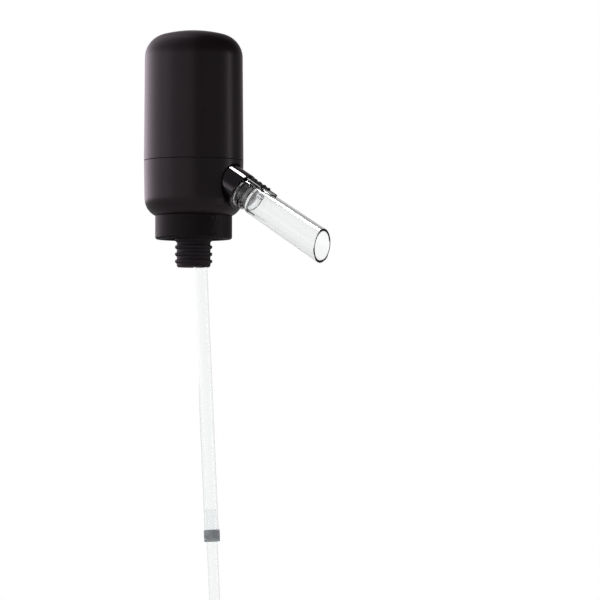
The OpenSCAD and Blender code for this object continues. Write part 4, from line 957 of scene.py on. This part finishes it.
dark_film = sleeved("dark_printed_film", "2e3238", "24282d")
copper_film = sleeved("copper_printed_film", "b0703c", "9c6134")
for k in range(6):
    activate(cell)
    bpy.ops.object.duplicate()
    dry_cell = bpy.context.object
    dry_cell.name = dry_cell.data.name = f"dry_cell_{k + 1}"
    if k % 2:
        over = Matrix.Translation((0, 0, 2 * cell_floor + cell_l)) @ Matrix.Rotation(
            math.pi, 4, "X"
        )
        place(dry_cell, over)
    place(dry_cell, around(30 + 60 * k, cell_ring))
    finish(dry_cell, copper_film if k % 2 else dark_film,
           "cell_copper" if k % 2 else "cell_dark", "pump_unit", f"battery_{k + 1}")
bpy.data.objects.remove(cell)

# Works
# What shows when the cover or the spout is off: the battery carrier and its cap in natural
# ABS, sprung brass contacts, the switch on its board, and the screws and leads between them.
white_abs = moulded("white_abs", "e6e3da", "dedacf", 0.4, 0.8 * mm, 0.02 * mm)
switch_abs = moulded("switch_black_abs", "1f1f21", "1a1a1c", 0.45, 0.5 * mm, 0.02 * mm)
lead_pvc = moulded("red_pvc", "8f1f1d", "841b1a", 0.35, 0.8 * mm, 0.01 * mm)
pump_rubber = moulded("pump_rubber", "28282c", "232327", 0.6, 0.5 * mm, 0.02 * mm)


def metal(name, code, dark_code, roughness, grain):
    """Plated or bare metal: a drift of gloss and colour over its faces."""
    material, tree, shader, at = surface(name, code, Metallic=1.0)
    drift = noise(tree, at, grain)
    tree.links.new(ramp(tree, drift, dark_code, code), shader.inputs["Base Color"])
    tree.links.new(
        spread(tree, drift, roughness - 0.07, roughness + 0.07), shader.inputs["Roughness"]
    )
    return material


# Contacts in plated spring brass, the motor's drawn can and ferrite, its copper winding, the
# eccentric in turned brass.
contact_brass = metal("plated_spring_brass", "cbb27a", "bfa56c", 0.3, 1.5 * mm)
turned_brass = metal("turned_brass", "c8a85e", "ba9a52", 0.25, 0.8 * mm)
can_steel = metal("drawn_steel_can", "b5b7ba", "a8aaad", 0.35, 3 * mm)
copper_wire = metal("enamelled_copper", "a5562c", "8f4722", 0.35, 0.5 * mm)
ferrite = moulded("sintered_ferrite", "45454a", "3c3c41", 0.7, 0.4 * mm, 0.04 * mm)
# Solder mask over a woven board: glossy green with the copper planes as a darker patchwork.
board_green, board_tree, board_shader, board_at = surface(
    "green_solder_mask", "1f5a3a", Roughness=0.25, Coat_Weight=0.5
)
board_tree.links.new(
    ramp(board_tree, noise(board_tree, board_at, 2.5 * mm), "184a2f", "226340", 0.46, 0.54),
    board_shader.inputs["Base Color"],
)
for name, piece_name, bevel, material, slot in (
    ("battery_carrier", "cell_carrier", 0.1 * mm, natural_abs, "inner_plastic"),
    ("carrier_cap", "cell_cap", 0.1 * mm, natural_abs, "inner_plastic"),
    ("carrier_screws", "carrier_fasteners", 0.08 * mm, zinc, "steel"),
    ("cap_screws", "cap_fasteners", 0.08 * mm, zinc, "steel"),
    ("board_screws", "board_fasteners", 0.08 * mm, zinc, "steel"),
    ("base_contacts", "lower_contacts", 0, contact_brass, "contact"),
    ("top_contacts", "upper_contacts", 0, contact_brass, "contact"),
    ("switch_board", "circuit_board", 0.08 * mm, board_green, "board"),
    ("switch_body", "switch_case", 0.1 * mm, switch_abs, "switch_black"),
    ("motor_rear_cap", "motor_end_cap", 0.1 * mm, white_abs, "white_plastic"),
    ("motor_leads", "lead_wires", 0, lead_pvc, "lead"),
):
    finish(refined(name, piece_name, bevel), material, slot, "pump_unit", name)
finish(refined("switch_plunger", "switch_stem"), natural_abs, "inner_plastic", "plunger",
       "switch_plunger")
dress(white_abs, "riser_barb", "air_barb", "connecting_rod", "pump_frame", "valve_plate",
      "pump_head")
dress(zinc, "motor_shaft", "motor_screws", "pump_screws")
dress(can_steel, "motor_can")
dress(ferrite, "motor_magnets")
dress(copper_wire, "motor_armature")
dress(turned_brass, "eccentric")
dress(pump_rubber, "diaphragm")


# Background
# A white sweep that the camera sees as plain white. The light comes from a bright side at the
# left and behind, and the right is kept dark, as in a studio with a black flag there.
def dot(tree, vector, direction):
    """How far a vector points in a direction."""
    return node(
        tree, "ShaderNodeVectorMath", {"operation": "DOT_PRODUCT"}, i0=vector, i1=direction
    ).outputs["Value"]


def span(tree, value, start, end, low, high):
    """A value drawn softly from one range onto another."""
    return node(
        tree, "ShaderNodeMapRange", {"interpolation_type": "SMOOTHSTEP"}, Value=value,
        From_Min=start, From_Max=end, To_Min=low, To_Max=high,
    ).outputs["Result"]


world = bpy.data.worlds.new("studio")
bpy.context.scene.world = world
world.use_nodes = True
sky = world.node_tree
back = sky.nodes["Background"]
look = node(sky, "ShaderNodeTexCoord").outputs["Generated"]
rays = node(sky, "ShaderNodeLightPath").outputs
# How bright the studio is at each turn to the left of the camera, in degrees. The white behind
# the object is 1.
cards = (
    (-180, 0.8), (-164, 0.5), (-136, 0.12), (-107, 0.06), (-95, 0.1), (-86, 0.16), (-30, 0.2),
    (-20, 0.12), (-12, 0.05), (-5, 0.2), (2, 0.55), (50, 0.58), (57, 1.1), (73, 1.15),
    (88, 1.1), (106, 1.7), (118, 2.1), (128, 2.4), (147, 2.5), (162, 1.4), (180, 0.8),
)
brightest = 4.0
turn = node(
    sky, "ShaderNodeMath", {"operation": "ARCTAN2"},
    i0=dot(sky, look, -to_right), i1=dot(sky, look, to_camera),
).outputs["Value"]
around_studio = node(
    sky, "ShaderNodeMapRange", Value=turn, From_Min=-math.pi, From_Max=math.pi
).outputs["Result"]
card_ramp = node(sky, "ShaderNodeValToRGB", Fac=around_studio)
stops = card_ramp.color_ramp.elements
stops.remove(stops[1])
stops[0].position = 0
stops[0].color = (cards[0][1] / brightest,) * 3 + (1,)
for angle, share in cards[1:]:
    stops.new((angle + 180) / 360).color = (share / brightest,) * 3 + (1,)
ceiling = span(sky, dot(sky, look, Vector((0, 0, 1))), 0.05, 0.45, brightest, brightest * 0.3)
side_light = node(
    sky, "ShaderNodeMath", {"operation": "MULTIPLY"}, i0=card_ramp.outputs["Color"], i1=ceiling
).outputs["Value"]
# Seen through clear plastic the studio is white at eye level and grey overhead, which draws the
# walls of the spout as thin grey bands.
overhead_grey = span(sky, dot(sky, look, Vector((0, 0, 1))), 0.1, 0.6, 1.0, 0.4)
indirect = node(
    sky, "ShaderNodeMix", {"data_type": "FLOAT"}, i0=rays["Is Transmission Ray"],
    i2=side_light, i3=overhead_grey,
).outputs[0]
level = node(
    sky, "ShaderNodeMix", {"data_type": "FLOAT"}, i0=rays["Is Camera Ray"], i2=indirect, i3=1.0
).outputs[0]
sky.links.new(level, back.inputs["Strength"])
tint = node(
    sky, "ShaderNodeMix", {"data_type": "RGBA"}, i0=rays["Is Camera Ray"],
    i6=(1, 0.88, 0.98, 1), i7=(1, 1, 1, 1),
).outputs[2]
clear_tint = node(
    sky, "ShaderNodeMix", {"data_type": "RGBA"}, i0=rays["Is Transmission Ray"],
    i6=tint, i7=(1, 1, 1, 1),
).outputs[2]
sky.links.new(clear_tint, back.inputs["Color"])

ground_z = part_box("inner_tube")[0].z
bpy.ops.object.select_all(action="DESELECT")
bpy.ops.mesh.primitive_plane_add(size=30, location=(0, 0, ground_z - 0.2 * mm))
floor = bpy.context.object
floor.name = "studio_floor"
# White paper: matt, and it takes the object's soft shadow.
floor_material, floor_tree, floor_shader, floor_at = surface(
    "white_sweep", "f4f4f4", Roughness=0.9
)
distance = node(
    floor_tree, "ShaderNodeVectorMath", {"operation": "LENGTH"}, i0=floor_at
).outputs["Value"]
far = span(floor_tree, distance, 0.25, 1.0, 0.0, 1.0)
floor_rays = node(floor_tree, "ShaderNodeLightPath").outputs
plain = node(
    floor_tree, "ShaderNodeMath", {"operation": "MAXIMUM"},
    i0=floor_rays["Is Camera Ray"], i1=floor_rays["Is Transmission Ray"],
).outputs["Value"]
glow_level = node(
    floor_tree, "ShaderNodeMapRange", Value=plain, To_Min=0.25, To_Max=1.0
).outputs["Result"]
glow = node(floor_tree, "ShaderNodeEmission", Strength=glow_level).outputs["Emission"]
lift_level = node(
    floor_tree, "ShaderNodeMath", {"operation": "MULTIPLY"}, i0=plain, i1=0.55
).outputs["Value"]
lift = node(floor_tree, "ShaderNodeEmission", Strength=lift_level).outputs["Emission"]
near = node(
    floor_tree, "ShaderNodeAddShader", i0=floor_shader.outputs["BSDF"], i1=lift
).outputs["Shader"]
sweep = node(floor_tree, "ShaderNodeMixShader", Fac=far, i1=near, i2=glow).outputs["Shader"]
floor_tree.links.new(sweep, floor_tree.nodes["Material Output"].inputs["Surface"])
floor.data.materials.append(floor_material)


# Lamps
# A long box overhead puts the streaks on the glossy socket and the spout, and a narrow one at
# the right draws the thin line down the body.
def soft_box(name, position, aim, width, height, power):
    """A rectangular area lamp at a position that shines at a point."""
    bpy.ops.object.light_add(type="AREA", location=position)
    lamp = bpy.context.object
    lamp.name = name
    lamp.data.shape = "RECTANGLE"
    lamp.data.size = width
    lamp.data.size_y = height
    lamp.data.energy = power
    lamp.rotation_euler = (Vector(aim) - Vector(position)).to_track_quat("-Z", "Y").to_euler()
    lamp.visible_camera = False
    return lamp


middle = Vector((0, 0, 60 * mm))
# The way to the overhead box, a little to the right and behind, where the socket's upper side
# and the tongue's flat mirror it to the camera.
overhead = to_right * 0.19 - to_camera * 0.164 + Vector((0, 0, 0.968))
top_box = soft_box("top_box", middle + overhead * 1.2, middle, 0.2, 0.4, 6)
top_box.rotation_euler = Matrix(
    (to_right, (to_right.cross(overhead)).normalized() * -1, overhead)
).transposed().to_euler()
right_strip = soft_box(
    "right_strip", middle + to_right * 1.0 - to_camera * 0.05, middle, 0.05, 0.5, 0.4
)
right_strip.data.color = (1.0, 0.9, 0.94)
# The overhead box lights only the glossy pieces: the crown shows no highlight.
glossy_pieces = bpy.data.collections.new("glossy_pieces")
for piece in (socket_piece, clear_spout, rubber_grip):
    glossy_pieces.objects.link(piece)
top_box.light_linking.receiver_collection = glossy_pieces
top_box.visible_transmission = False
